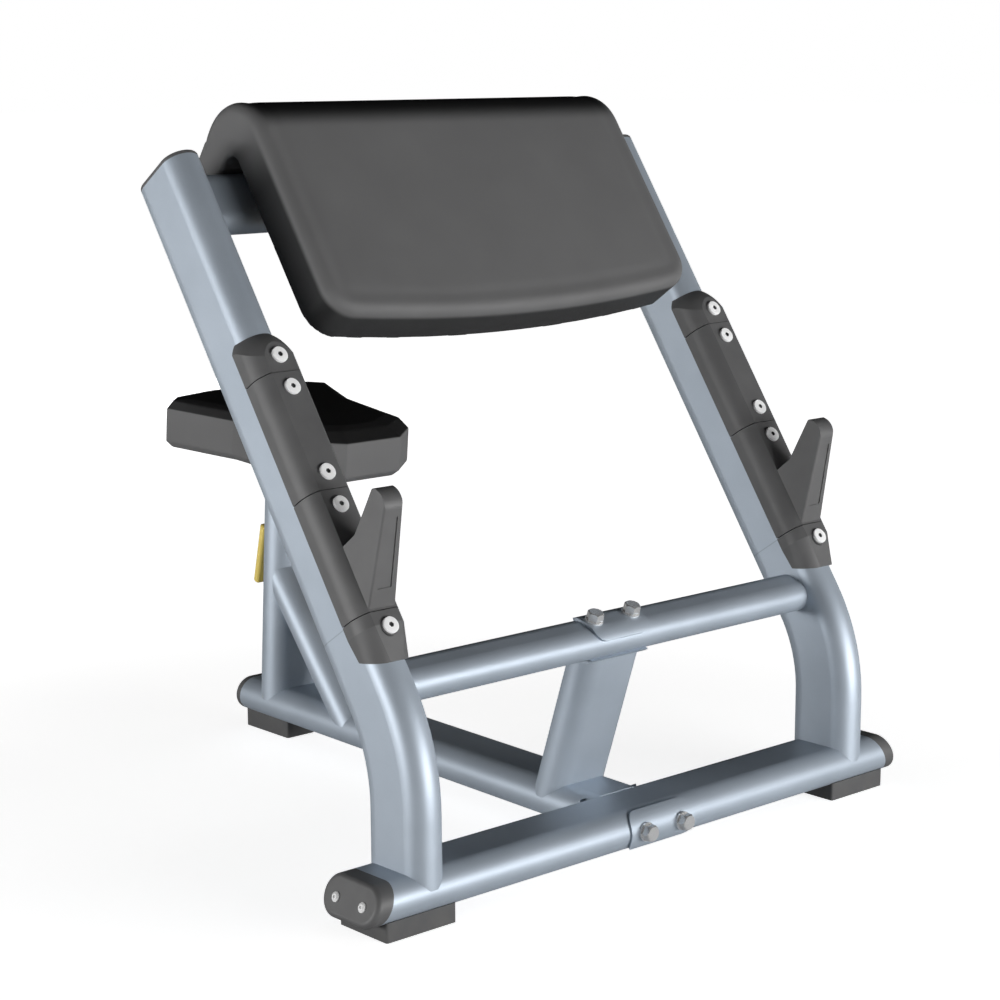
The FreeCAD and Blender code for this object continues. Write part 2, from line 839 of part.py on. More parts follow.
def guard_section(start, half_width, side_top, face_half, face_height, bulge_depth):
    """The guard's section round the front of the upright."""
    hug = tube_depth / 2 + fit_gap
    shoulder = Vector((half_width + face_half) / 2, start, (side_top + face_height) / 2)
    slope = Vector(face_height - side_top, 0, half_width - face_half)
    bulge = shoulder + slope * (bulge_depth / slope.Length)
    mirror = Vector(-bulge.x, start, bulge.z)

    def corner(x, height):
        return Vector(x, start, height)
    foot = corner(half_width, guard_rear_edge)
    side = corner(half_width, side_top)
    face = corner(face_half, face_height)
    far_face = corner(-face_half, face_height)
    far_side = corner(-half_width, side_top)
    far_foot = corner(-half_width, guard_rear_edge)
    far_inner = corner(-hug, guard_rear_edge)
    spring_height = upright_nose - tube_depth / 2
    far_spring = corner(-hug, spring_height)
    inner = corner(hug, guard_rear_edge)
    spring = corner(hug, spring_height)
    nose = corner(0, upright_nose + fit_gap)
    edges = [Part.LineSegment(foot, side), Part.Arc(side, bulge, face), Part.LineSegment(face, far_face),
             Part.Arc(far_face, mirror, far_side), Part.LineSegment(far_side, far_foot),
             Part.LineSegment(far_foot, far_inner), Part.LineSegment(far_inner, far_spring),
             Part.Arc(far_spring, nose, spring), Part.LineSegment(spring, inner),
             Part.LineSegment(inner, foot)]
    return Part.Wire([edge.toShape() for edge in edges])


def guard_prism(start, end):
    """The guard's plain section run from start to end."""
    section = guard_section(start, guard_half_width, guard_side_top, guard_face_half, guard_face,
                            guard_bulge)
    return Part.Face(section).extrude(Vector(0, end - start, 0))


def guard_lip():
    """The guard drawn in from its plain section to a thin lip round the tube."""
    plain = guard_section(guard_bottom_front, guard_half_width, guard_side_top, guard_face_half, guard_face,
                          guard_bulge)
    radius = guard_lip_radius
    rise = math.sqrt(radius * radius - guard_lip_face_half * guard_lip_face_half)
    chord = math.hypot(radius - guard_lip_face_half, rise) / 2
    bulge = radius - math.sqrt(radius * radius - chord * chord)
    base = upright_nose - tube_depth / 2
    lip = guard_section(guard_bottom_lip, radius, base, guard_lip_face_half, base + rise, bulge)
    return Part.makeLoft([lip, plain], True, False)


def side_profile(outline):
    """An outline of along and height, run across the guard's full width."""
    prism = Part.Face(outline).extrude(Vector(2 * tube_width, 0, 0))
    return shifted(prism, -tube_width, 0, 0)


def rounded_outline(corners):
    """A closed outline through points, each given with the radius that rounds it."""
    runs = []
    for index, (point, radius) in enumerate(corners):
        back = (corners[index - 1][0] - point).normalize()
        onward = (corners[(index + 1) % len(corners)][0] - point).normalize()
        half = back.getAngle(onward) / 2
        cut = radius / math.tan(half)
        middle = (back + onward).normalize() * (radius / math.sin(half) - radius)
        runs.append((point + back * cut, point + middle, point + onward * cut))
    edges = []
    for index, (start, middle, end) in enumerate(runs):
        if corners[index][1] > 0:
            edges.append(Part.Arc(start, middle, end).toShape())
        edges.append(Part.LineSegment(end, runs[(index + 1) % len(runs)][0]).toShape())
    return Part.Wire(edges)


def flat(along, height):
    return Vector(0, along, height)


def with_screws(body, screws):
    """The guard with a raised pad and a hole at each screw."""
    for along in screws:
        pad = cylinder(guard_screw_pad, Vector(0, along, guard_lip_height),
                       Vector(0, along, guard_face + guard_screw_pad_rise))
        hole = cylinder(guard_screw_diameter / 2, Vector(0, along, 0), Vector(0, along, 2 * guard_face))
        body = body.fuse(pad).cut(hole)
    return tidy(body)


def guard_top_cover(side):
    """The top length of guard, closed by a smooth dome."""
    body = guard_prism(guard_split_high + guard_joint / 2, guard_dome_along + guard_dome_half_along)
    stretch = Matrix()
    stretch.scale(guard_dome_half_x, guard_dome_half_along, guard_dome_half_height)
    dome = Part.makeSphere(1).transformGeometry(stretch)
    dome = shifted(dome, 0, guard_dome_along, guard_dome_height)
    straight = guard_prism(guard_split_high + guard_joint / 2, guard_dome_along)
    body = body.common(dome).fuse(straight)
    return guard_place(with_screws(body, guard_screws_top), side)


def guard_middle_cover(side):
    body = guard_prism(guard_split_mid + guard_joint / 2, guard_split_high - guard_joint / 2)
    return guard_place(with_screws(body, guard_screws_middle), side)


def guard_bottom_cover(side):
    end = guard_split_low - guard_joint / 2
    body = guard_prism(guard_bottom_front, end).fuse(guard_lip())
    outline = Part.makePolygon([flat(end, guard_rear_edge), flat(end, 2 * guard_face),
                                flat(guard_bottom_lip, 2 * guard_face),
                                flat(guard_bottom_lip, guard_bottom_step),
                                flat(guard_bottom_rear, guard_rear_edge), flat(end, guard_rear_edge)])
    return guard_place(with_screws(body.common(side_profile(outline)), guard_screws_bottom), side)


def hook_tip():
    """The sharp corner of the arm's front and top, before it is rounded."""
    return flat(hook_tip_along, guard_face + hook_tip_rise)


def hook_slab(outline):
    """An outline of along and height, run across the guard's front face."""
    slab = Part.Face(outline).extrude(Vector(2 * guard_face_half, 0, 0))
    return shifted(slab, -guard_face_half, 0, 0)


def hook_wedge():
    """The arm's sloped front with its two tapered sides and rounded front edges, longer than the arm."""
    low = flat(hook_base_low, guard_face)
    far = low + (hook_tip() - low) * 2
    root = flat(hook_base_low, guard_lip_height)
    wedge = hook_slab(Part.makePolygon([root, low, far, flat(far.y, root.z), root]))
    inward = guard_face_half - hook_tip_half
    for side in (1, -1):
        plane = Vector(side * guard_face_half, 0, guard_face)
        wedge = wedge.cut(half_space(plane, Vector(side * hook_tip_rise, 0, inward)))
    middle = (low + far) / 2
    front = [edge for edge in wedge.Edges if abs(edge.CenterOfMass.y - middle.y) < hook_edge_round
             and abs(edge.CenterOfMass.z - middle.z) < hook_edge_round]
    return wedge.makeFillet(hook_edge_round, front)


def hook_arm():
    """The arm, with the pocket that a bar rests in between it and the guard."""
    root = guard_lip_height
    outline = rounded_outline([
        (flat(hook_base_low, root), 0), (flat(hook_base_low, guard_face), 0), (hook_tip(), hook_tip_round),
        (flat(hook_back_along, guard_face + hook_back_rise), hook_back_round),
        (flat(hook_pocket_along, guard_face + hook_pocket_rise), hook_pocket_round),
        (flat(hook_floor_along, guard_face), 0), (flat(hook_floor_along, root), 0)])
    return hook_slab(outline).common(hook_wedge()).cut(hook_panel())


def hook_panel():
    """The shallow tapered panel let into the arm's front face."""
    low = flat(hook_base_low, guard_face)
    high = hook_tip()
    along = high - low
    out = Vector(0, -along.z, along.y).normalize()
    start = low + along * hook_panel_start_share
    end = low + along * hook_panel_end_share
    across_x = Vector(1, 0, 0)
    corners = [start - across_x * hook_panel_low_half, start + across_x * hook_panel_low_half,
               end + across_x * hook_panel_high_half, end - across_x * hook_panel_high_half]
    return polygon([corner - out * hook_panel_depth for corner in corners]).extrude(out * overrun)


def bar_hook(side):
    body = guard_prism(guard_split_low + guard_joint / 2, guard_split_mid - guard_joint / 2)
    return guard_place(with_screws(body.fuse(hook_arm()), guard_screws_hook), side)


def guard_screws(side):
    for along in all_guard_screws():
        screw = button_screw(guard_screw_head, guard_screw_head_height, guard_screw_diameter,
                             guard_screw_length, guard_screw_socket)
        yield guard_place(shifted(screw, 0, along, guard_face + guard_screw_pad_rise), side)


# Arm pad with its board and straps


def pad_front_outline():
    """The pad seen square to its front: an arched bottom edge with rounded corners."""
    half = pad_half_width
    top = pad_roll_along + 2 * pad_roll_radius
    rise = half * half / (2 * pad_bottom_radius)
    low = flat_x(0, pad_bottom)
    outline = Part.Wire([Part.Arc(flat_x(-half, pad_bottom + rise), low,
                                  flat_x(half, pad_bottom + rise)).toShape(),
                         Part.LineSegment(flat_x(half, pad_bottom + rise), flat_x(half, top)).toShape(),
                         Part.LineSegment(flat_x(half, top), flat_x(-half, top)).toShape(),
                         Part.LineSegment(flat_x(-half, top), flat_x(-half, pad_bottom + rise)).toShape()])
    block = Part.Face(outline).extrude(Vector(0, 0, 2 * reach))
    block = shifted(block, 0, 0, -reach)
    corners = [edge for edge in block.Edges if edge.CenterOfMass.y < pad_bottom + 2 * rise
               and abs(edge.CenterOfMass.x) > half - rise and abs(edge.CenterOfMass.z) < pad_front]
    return block.makeFillet(pad_corner_round, corners)


def flat_x(x, along):
    return Vector(x, along, 0)


def pad_side_outline():
    """The pad seen from its end: slab, top roll and the hood that goes back over the upper tube."""
    slope = math.radians(pad_flank_turn)
    centre = flat(pad_roll_along, pad_front - pad_roll_radius)
    flank = centre + flat(math.cos(slope), -math.sin(slope)) * pad_roll_radius
    half_turn = math.radians(90 + pad_flank_turn) / 2
    crown = centre + flat(math.sin(half_turn), math.cos(half_turn)) * pad_roll_radius
    down = flat(-math.sin(slope), -math.cos(slope))
    hood_back = flank + down * ((flank.z + pad_hood_end) / math.cos(slope))
    inner = upper_tube_along + upper_tube_width / 2 + fit_gap
    low = pad_bottom - pad_corner_round
    slab_end = flat(upper_tube_along + pad_notch_low, pad_back)
    notch_end = flat(inner, pad_notch_back)
    return [Part.LineSegment(flat(low, pad_back), flat(low, pad_front)),
            Part.LineSegment(flat(low, pad_front), flat(pad_roll_along, pad_front)),
            Part.Arc(flat(pad_roll_along, pad_front), crown, flank),
            Part.LineSegment(flank, hood_back),
            Part.LineSegment(hood_back, flat(inner, hood_back.z)),
            Part.LineSegment(flat(inner, hood_back.z), notch_end),
            Part.Arc(notch_end, flat(upper_tube_along + pad_notch_rise, pad_notch_height), slab_end),
            Part.LineSegment(slab_end, flat(low, pad_back))]


def arm_pad():
    wire = Part.Wire([edge.toShape() for edge in pad_side_outline()])
    body = Part.Face(wire).extrude(Vector(2 * pad_half_width, 0, 0))
    body = tidy(shifted(body, -pad_half_width, 0, 0).common(pad_front_outline()))
    rim = [edge for edge in body.Edges if edge.CenterOfMass.z > pad_front - fit_gap
           and edge.CenterOfMass.y < pad_bottom + pad_corner_round]
    return on_incline(tidy(body.makeFillet(pad_edge_round, rim)))


def pad_bolt_places():
    for x in (strap_x, -strap_x):
        for drop in pad_bolt_drops:
            yield Vector(x, upper_tube_along - drop, upper_tube_depth / 2)


def arm_pad_board():
    half = pad_half_width - board_inset
    low = pad_bottom + board_inset
    high = pad_roll_along - board_top_drop
    block = box(Vector(-half, low, pad_back - board_thickness), Vector(half, high, pad_back))
    corners = [edge for edge in block.Edges if abs(edge.CenterOfMass.z - pad_back + board_thickness / 2)
               < board_thickness / 4]
    block = block.makeFillet(board_round, corners)
    holes = [cylinder(pad_bolt_diameter / 2, place, place + Vector(0, 0, pad_bolt_length))
             for place in pad_bolt_places()]
    return on_incline(tidy(block.cut(holes)))


def pad_strap(side):
    high = upper_tube_along + upper_tube_width / 4
    start = Vector(side * strap_x - strap_width / 2, strap_bottom,
                   pad_back - board_thickness - strap_thickness)
    end = Vector(side * strap_x + strap_width / 2, high, pad_back - board_thickness)
    bar = box(start, end)
    corners = [edge for edge in bar.Edges if abs(edge.CenterOfMass.y - strap_bottom) < strap_thickness / 2
               and abs(edge.CenterOfMass.x - side * strap_x) > strap_width / 4]
    bar = bar.makeFillet(strap_width / 4, corners)
    holes = [cylinder(pad_bolt_diameter / 2 + fit_gap, place - Vector(0, 0, overrun),
                      place + Vector(0, 0, overrun))
             for place in pad_bolt_places()]
    return on_incline(tidy(bar.cut(holes)))


def pad_bolts():
    for place in pad_bolt_places():
        screw = button_screw(pad_bolt_head, pad_bolt_head_height, pad_bolt_diameter, pad_bolt_length,
                             cap_screw_socket)
        yield on_incline(shifted(turned(screw, Vector(1, 0, 0), 180), place.x, place.y,
                                 pad_back - board_thickness - strap_thickness))


# Seat


def seat_outline(inset_front, inset_side, height):
    """The seat's outline at a height: a narrow nose, a waist and a flared rear with cut corners."""
    length = seat_rear_y

    def inner(half, y):
        share = (length - y) / length
        return half - inset_side, y + inset_front * share * share - inset_side * (1 - share)
    right = [inner(seat_nose_half, 0), inner(seat_shoulder_half, seat_shoulder_y),
             inner(seat_waist_half, seat_waist_y), inner(seat_hip_half, seat_hip_y),
             inner(seat_flare_half, seat_flare_y), inner(seat_tail_half, seat_tail_y),
             inner(seat_rear_half, seat_rear_y)]
    points = [Vector(x, y, height) for x, y in right]
    points += [Vector(-x, y, height) for x, y in reversed(right)]
    return Part.makePolygon(points + [points[0]])


def seat_cushion():
    side = seat_top_inset_side
    crown = seat_crown_inset
    wires = [seat_outline(side, side, -seat_depth),
             seat_outline(0, 0, -seat_depth + seat_foot_chamfer),
             seat_outline(0, 0, 0),
             seat_outline(seat_top_inset_front, side, seat_chamfer),
             seat_outline(seat_top_inset_front + crown, side + crown, seat_chamfer + seat_crown)]
    body = Part.makeLoft(wires, True, True)
    pocket = Part.Face(seat_outline(seat_board_inset - fit_gap, seat_board_inset - fit_gap,
                                    -seat_depth - overrun))
    pocket = pocket.extrude(Vector(0, 0, overrun + seat_board_thickness))
    return on_seat(tidy(body.cut(pocket)))


def seat_board():
    board = Part.Face(seat_outline(seat_board_inset, seat_board_inset, -seat_depth))
    board = board.extrude(Vector(0, 0, seat_board_thickness))
    return on_seat(tidy(board.cut(list(seat_bolt_holes()))))


def stem_in_seat():
    """Where the stem's axis crosses the underside of the seat board, in the seat's frame."""
    lean = math.radians(seat_tilt - post_lean)
    foot = Vector(0, post_foot, rail_top_z(post_foot))
    offset = foot - Vector(0, seat_front_y, seat_front_z)
    tilt = math.radians(seat_tilt)
    y = offset.y * math.cos(tilt) + offset.z * math.sin(tilt)
    z = offset.z * math.cos(tilt) - offset.y * math.sin(tilt)
    climb = (-seat_depth - z) / math.cos(lean)
    return y + climb * math.sin(lean), climb


def seat_bolt_places():
    middle = stem_in_seat()[0]
    for x in (seat_bolt_x, -seat_bolt_x):
        for y in (seat_bolt_y, -seat_bolt_y):
            yield Vector(x, middle + y, -seat_depth)


def seat_bolt_holes():
    for place in seat_bolt_places():
        yield cylinder(pad_bolt_diameter / 2, place - Vector(0, 0, overrun),
                       place + Vector(0, 0, seat_board_thickness))


def seat_plate():
    middle = stem_in_seat()[0]
    plate = box(Vector(-seat_plate_width / 2, middle - seat_plate_length / 2,
                       -seat_depth - seat_plate_thickness),
                Vector(seat_plate_width / 2, middle + seat_plate_length / 2, -seat_depth))
    middle_height = -seat_depth - seat_plate_thickness / 2
    corners = [edge for edge in plate.Edges
               if abs(edge.CenterOfMass.z - middle_height) < seat_plate_thickness / 4]
    plate = plate.makeFillet(seat_plate_corner, corners)
    return on_seat(tidy(plate.cut(list(seat_bolt_holes()))))


def seat_bolts():
    for place in seat_bolt_places():
        screw = button_screw(pad_bolt_head, pad_bolt_head_height, pad_bolt_diameter,
                             seat_plate_thickness + seat_board_thickness - fit_gap, cap_screw_socket)
        yield on_seat(shifted(turned(screw, Vector(1, 0, 0), 180), place.x, place.y,
                              place.z - seat_plate_thickness))


def stem_top():
    """Height of the seat plate's underside on the stem's axis, up the seat post."""
    lean = math.radians(seat_tilt - post_lean)
    return stem_in_seat()[1] - seat_plate_thickness / math.cos(lean)


def collar_bottom():
    return stem_top() - stem_collar_drop - stem_collar_height


def seat_stem():
    bottom = collar_bottom() - stem_length
    tube = oval_tube(stem_width, stem_depth, stem_wall, bottom, stem_top() + overrun)
    collar = oval_bar(tube_width, tube_depth, collar_bottom(), collar_bottom() + stem_collar_height)
    collar = collar.cut(oval_bar(stem_width, stem_depth, collar_bottom() - overrun, stem_top() + overrun))
    radius = lock_pin_diameter / 2 + lock_hole_clearance
    holes = []
    for step in range(1, seat_hole_count + 1):
        height = lock_pin_height() - step * seat_hole_pitch
        holes.append(cylinder(radius, Vector(0, 0, height), Vector(0, tube_depth, height)))
    above = half_space(Vector(0, 0, -seat_depth - seat_plate_thickness), Vector(0, 0, 1))
    return tidy(on_post(tidy(tube.fuse(collar)).cut(holes)).cut(on_seat(above)))


def upper_glide():
    top = post_length()
    sleeve_width = tube_width - 2 * tube_wall
    sleeve_depth = tube_depth - 2 * tube_wall
    sleeve = oval_bar(sleeve_width, sleeve_depth, top - glide_depth, top)
    flange = oval_bar(tube_width, tube_depth, top, top + glide_flange)
    bore = oval_bar(stem_width + 2 * fit_gap, stem_depth + 2 * fit_gap, top - glide_depth - overrun,
                    top + overrun)
    return on_post(tidy(sleeve.fuse(flange).cut(bore)))


def lower_glide():
    bottom = collar_bottom() - stem_length
    outer_width = tube_width - 2 * (tube_wall + fit_gap)
    outer_depth = tube_depth - 2 * (tube_wall + fit_gap)
    ring = oval_bar(outer_width, outer_depth, bottom, bottom + glide_foot_height)
    return on_post(ring.cut(oval_bar(stem_width, stem_depth, bottom - overrun,
                                     bottom + glide_foot_height + overrun)))


# Lock pin and release lever, drawn in the seat post's frame: +Y is square out of its rear face


def lock_pin_height():
    return lever_pivot_height - lock_pin_drop


def post_back():
    return tube_depth / 2


def pivot_back():
    return post_back() + lever_pivot_back


def rearward(radius, start, end, height):
    """A round bar along the pin's axis."""
    return cylinder(radius, Vector(0, start, height), Vector(0, end, height))


def lock_pin_parts():
    """Where the pin's shaft, collar and tail start and end behind the post's middle."""
    tip = stem_depth / 2 + fit_gap
    collar = post_back() + lock_pin_seat
    cross = pivot_back() + lever_arm_thickness / 2 + fit_gap + cross_pin_diameter / 2
    return tip, collar, cross, cross + cross_pin_diameter


def lock_pin():
    tip, collar, cross, end = lock_pin_parts()
    height = lock_pin_height()
    nose = Part.makeCone(lock_pin_diameter / 2 - lock_pin_nose_step, lock_pin_diameter / 2,
                         lock_pin_wall_lead(),
                         Vector(0, tip, height), Vector(0, 1, 0))
    shaft = rearward(lock_pin_diameter / 2, tip + lock_pin_wall_lead(), collar, height)
    ring = rearward(lock_pin_collar / 2, collar, collar + lock_pin_collar_thickness, height)
    tail = rearward(lock_pin_tail / 2, collar + lock_pin_collar_thickness, end, height)
    bar = cylinder(cross_pin_diameter / 2, Vector(-cross_pin_length / 2, cross, height),
                   Vector(cross_pin_length / 2, cross, height))
    return on_post(tidy(nose.fuse([shaft, ring, tail, bar])))


def lock_pin_wall_lead():
    """Length of the pin's tapered lead."""
    return tube_wall


def lock_pin_housing():
    height = lock_pin_height()
    start = post_back()
    end = start + lock_housing_length
    body = rearward(lock_housing_diameter / 2, start, end, height)
    bore = rearward(lock_housing_diameter / 2 - lock_housing_wall, start - overrun,
                    end - lock_housing_wall, height)
    mouth = rearward(lock_pin_tail / 2 + fit_gap, start, end + overrun, height)
    return on_post(tidy(body.cut([bore, mouth])))


def lock_spring():
    """The closed-wound spring between the pin's collar and the housing's end wall, as a plain sleeve."""
    start = lock_pin_parts()[1] + lock_pin_collar_thickness
    end = post_back() + lock_housing_length - lock_housing_wall
    outer = rearward(lock_pin_collar / 2, start, end, lock_pin_height())
    inner = rearward(lock_pin_collar / 2 - lock_spring_wire, start - overrun, end + overrun,
                     lock_pin_height())
    return on_post(outer.cut(inner))


def release_lever():
    """A flat arm on a hub, slotted for the pin's tail, with a broad paddle below."""
    pivot = Vector(0, pivot_back(), lever_pivot_height)
    half = lever_arm_width / 2
    thick = lever_arm_thickness / 2
    hub = cylinder(lever_hub_diameter / 2, pivot - Vector(half, 0, 0), pivot + Vector(half, 0, 0))
    low = lever_pivot_height - lever_arm_drop
    arm = box(Vector(-half, pivot.y - thick, low), Vector(half, pivot.y + thick, lever_pivot_height))
    slant = math.radians(paddle_slant)
    bend_height = low + paddle_thickness / 2
    paddle = box(Vector(-paddle_width / 2, -paddle_thickness / 2, -paddle_length),
                 Vector(paddle_width / 2, paddle_thickness / 2, paddle_round))
    ends = [edge for edge in paddle.Edges if abs(edge.CenterOfMass.x) > paddle_width / 2 - paddle_round
            or abs(edge.CenterOfMass.z + paddle_length) < paddle_round]
    paddle = paddle.makeFillet(paddle_round, ends)
    paddle = turned(paddle, Vector(1, 0, 0), paddle_slant)
    paddle = shifted(paddle, 0, pivot.y + math.sin(slant) * paddle_round, bend_height)
    bore = cylinder(pivot_pin_diameter / 2 + lever_bore_clearance, pivot - Vector(2 * half, 0, 0),
                    pivot + Vector(2 * half, 0, 0))
    slot = box(Vector(-lever_slot_width / 2, pivot.y - paddle_thickness,
                      lock_pin_height() - lever_slot_length / 2),
               Vector(lever_slot_width / 2, pivot.y + paddle_thickness,
                      lock_pin_height() + lever_slot_length / 2))
    return on_post(tidy(hub.fuse([arm, paddle]).cut([bore, slot])))


def lever_bracket():
    """Two ears on a plate behind the post."""
    inner = lever_arm_width / 2 + bracket_ear_gap
    outer = inner + bracket_ear_thickness
    half = bracket_height / 2
    pivot = Vector(0, pivot_back(), lever_pivot_height)
    plate = box(Vector(-outer, post_back(), lever_pivot_height - half),
                Vector(outer, post_back() + bracket_plate, lever_pivot_height + half))
    body = [plate]
    for side in (1, -1):
        low_x = min(side * inner, side * outer)
        ear = box(Vector(low_x, post_back(), lever_pivot_height - half),
                  Vector(low_x + bracket_ear_thickness, pivot.y, lever_pivot_height + half))
        round_end = cylinder(half, Vector(low_x, pivot.y, pivot.z),
                             Vector(low_x + bracket_ear_thickness, pivot.y, pivot.z))
        body += [ear, round_end]
    hole = cylinder(pivot_pin_diameter / 2, pivot - Vector(tube_width, 0, 0),
                    pivot + Vector(tube_width, 0, 0))
    room = rearward(lock_housing_diameter / 2 + fit_gap, post_back(), pivot.y, lock_pin_height())
    return on_post(tidy(fused(body).cut([hole, room])))


def lever_pivot_pin():
    outer = lever_arm_width / 2 + bracket_ear_gap + bracket_ear_thickness
    pivot = Vector(0, pivot_back(), lever_pivot_height)
    head = Vector(pivot_pin_head_height, 0, 0)
    start = pivot - Vector(outer, 0, 0)
    end = pivot + Vector(outer, 0, 0)
    shank = cylinder(pivot_pin_diameter / 2, start - head, end + head)
    near = cylinder(pivot_pin_head / 2, end, end + head)
    far = cylinder(pivot_pin_head / 2, start - head, start)
    return on_post(tidy(shank.fuse([near, far])))


def all_pieces():
    """Every node by its name."""
    pieces = {
        "front_base_tube": front_base_tube(),
        "left_upright": upright(1),
        "right_upright": upright(-1),
        "mid_cross_tube": mid_cross_tube(),
        "upper_cross_tube": upper_cross_tube(),
        "base_rail": base_rail(),
        "rail_front_plate": rail_front_plate(),
        "centre_strut": centre_strut(),
        "strut_top_plate": strut_top_plate(),
        "seat_post": seat_post(),
        "seat_post_brace": seat_post_brace(),
        "front_saddle_plate": front_saddle_plate(),
        "mid_saddle_plate": mid_saddle_plate(),
        "frame_bolts": Part.makeCompound(list(frame_bolts())),
        "frame_washers": Part.makeCompound(list(frame_washers())),
        "frame_nuts": Part.makeCompound(list(frame_nuts())),
        "left_base_end_cap": at_left_end(end_cap(end_slant, end_cap_thickness)),
        "right_base_end_cap": at_right_end(end_cap(end_slant, end_cap_thickness)),
        "rear_end_cap": at_rear_end(end_cap(rear_slant, rear_cap_thickness)),
        "end_cap_screws": Part.makeCompound(end_cap_screws()),
        "front_left_foot": front_foot(1),
        "front_right_foot": front_foot(-1),
        "rear_foot": rear_foot(),
        "arm_pad": arm_pad(),
        "arm_pad_board": arm_pad_board(),
        "left_pad_strap": pad_strap(1),
        "right_pad_strap": pad_strap(-1),
        "arm_pad_bolts": Part.makeCompound(list(pad_bolts())),
        "seat_cushion": seat_cushion(),
        "seat_board": seat_board(),
        "seat_plate": seat_plate(),
        "seat_bolts": Part.makeCompound(list(seat_bolts())),
        "seat_stem": seat_stem(),
        "upper_stem_glide": upper_glide(),
        "lower_stem_glide": lower_glide(),
        "lock_pin": lock_pin(),
        "lock_pin_housing": lock_pin_housing(),
        "lock_spring": lock_spring(),
        "release_lever": release_lever(),
        "lever_bracket": lever_bracket(),
        "lever_pivot_pin": lever_pivot_pin(),
    }
    for name, side in (("left", 1), ("right", -1)):
        pieces[name + "_upright_top_cap"] = upright_top_cap(side)
        pieces[name + "_guard_top_cover"] = guard_top_cover(side)
        pieces[name + "_guard_middle_cover"] = guard_middle_cover(side)
        pieces[name + "_bar_hook"] = bar_hook(side)
        pieces[name + "_guard_bottom_cover"] = guard_bottom_cover(side)
        pieces[name + "_guard_screws"] = Part.makeCompound(list(guard_screws(side)))
    return pieces


def main():
    os.makedirs("parts", exist_ok=True)
    pieces = all_pieces()
    bounds = Part.makeCompound(list(pieces.values())).optimalBoundingBox(False, False)
    for name, shape in pieces.items():
        placed = shifted(shape, 0, -bounds.Center.y, 0)
        print(name, len(placed.Solids), placed.isValid(), round(placed.Volume))
        placed.exportStep("parts/" + name + ".step")
    print("origin set back by", bounds.Center.y)


main()
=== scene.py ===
import json
import math

import bpy
from mathutils import Matrix, Vector
from mathutils.bvhtree import BVHTree


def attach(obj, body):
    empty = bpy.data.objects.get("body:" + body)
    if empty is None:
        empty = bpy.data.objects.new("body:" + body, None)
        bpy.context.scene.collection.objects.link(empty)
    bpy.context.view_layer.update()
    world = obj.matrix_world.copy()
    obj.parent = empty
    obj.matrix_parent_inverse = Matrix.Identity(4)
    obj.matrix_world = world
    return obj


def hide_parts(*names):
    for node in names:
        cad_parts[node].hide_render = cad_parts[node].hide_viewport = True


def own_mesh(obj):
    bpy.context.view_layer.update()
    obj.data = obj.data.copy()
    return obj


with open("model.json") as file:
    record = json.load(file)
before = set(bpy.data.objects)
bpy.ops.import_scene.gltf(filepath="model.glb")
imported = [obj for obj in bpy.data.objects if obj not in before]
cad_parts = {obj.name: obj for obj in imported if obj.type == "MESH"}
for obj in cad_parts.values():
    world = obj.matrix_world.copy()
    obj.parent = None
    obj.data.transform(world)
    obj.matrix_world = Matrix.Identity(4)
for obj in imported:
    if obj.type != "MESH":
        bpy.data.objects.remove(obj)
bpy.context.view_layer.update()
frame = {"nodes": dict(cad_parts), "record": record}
nodes = frame["nodes"]


# Places that the pieces are drawn in, in metres

set_back = 0.3862976
incline_turn = math.radians(55.7)
incline_place = Matrix.Translation((0, -set_back, 0.2014)) @ Matrix.Rotation(incline_turn, 4, "X")
seat_turn = math.radians(5.5)
seat_place = Matrix.Translation((0, 0.509 - set_back, 0.462)) @ Matrix.Rotation(seat_turn, 4, "X")


# Shader maths as plain expressions

smooth_range = {"interpolation_type": "SMOOTHSTEP"}


class Sock:
    """A shader socket that takes part in sums."""

    def __init__(self, tree, socket):
        self.tree = tree
        self.socket = socket

    def maths(self, operation, *values):
        return self.tree.make("ShaderNodeMath", {"operation": operation}, *values)["Value"]

    def __add__(self, other):
        return self.maths("ADD", self, other)

    def __sub__(self, other):
        return self.maths("SUBTRACT", self, other)

    def __rsub__(self, other):
        return self.maths("SUBTRACT", other, self)

    def __mul__(self, other):
        return self.maths("MULTIPLY", self, other)

    def __gt__(self, other):
        return self.maths("GREATER_THAN", self, other)

    __radd__ = __add__
    __rmul__ = __mul__

    def at_most(self, limit):
        return self.maths("MINIMUM", self, limit)

    def at_least(self, limit):
        return self.maths("MAXIMUM", self, limit)

    def size(self):
        """The value without its sign."""
        return self.maths("ABSOLUTE", self)


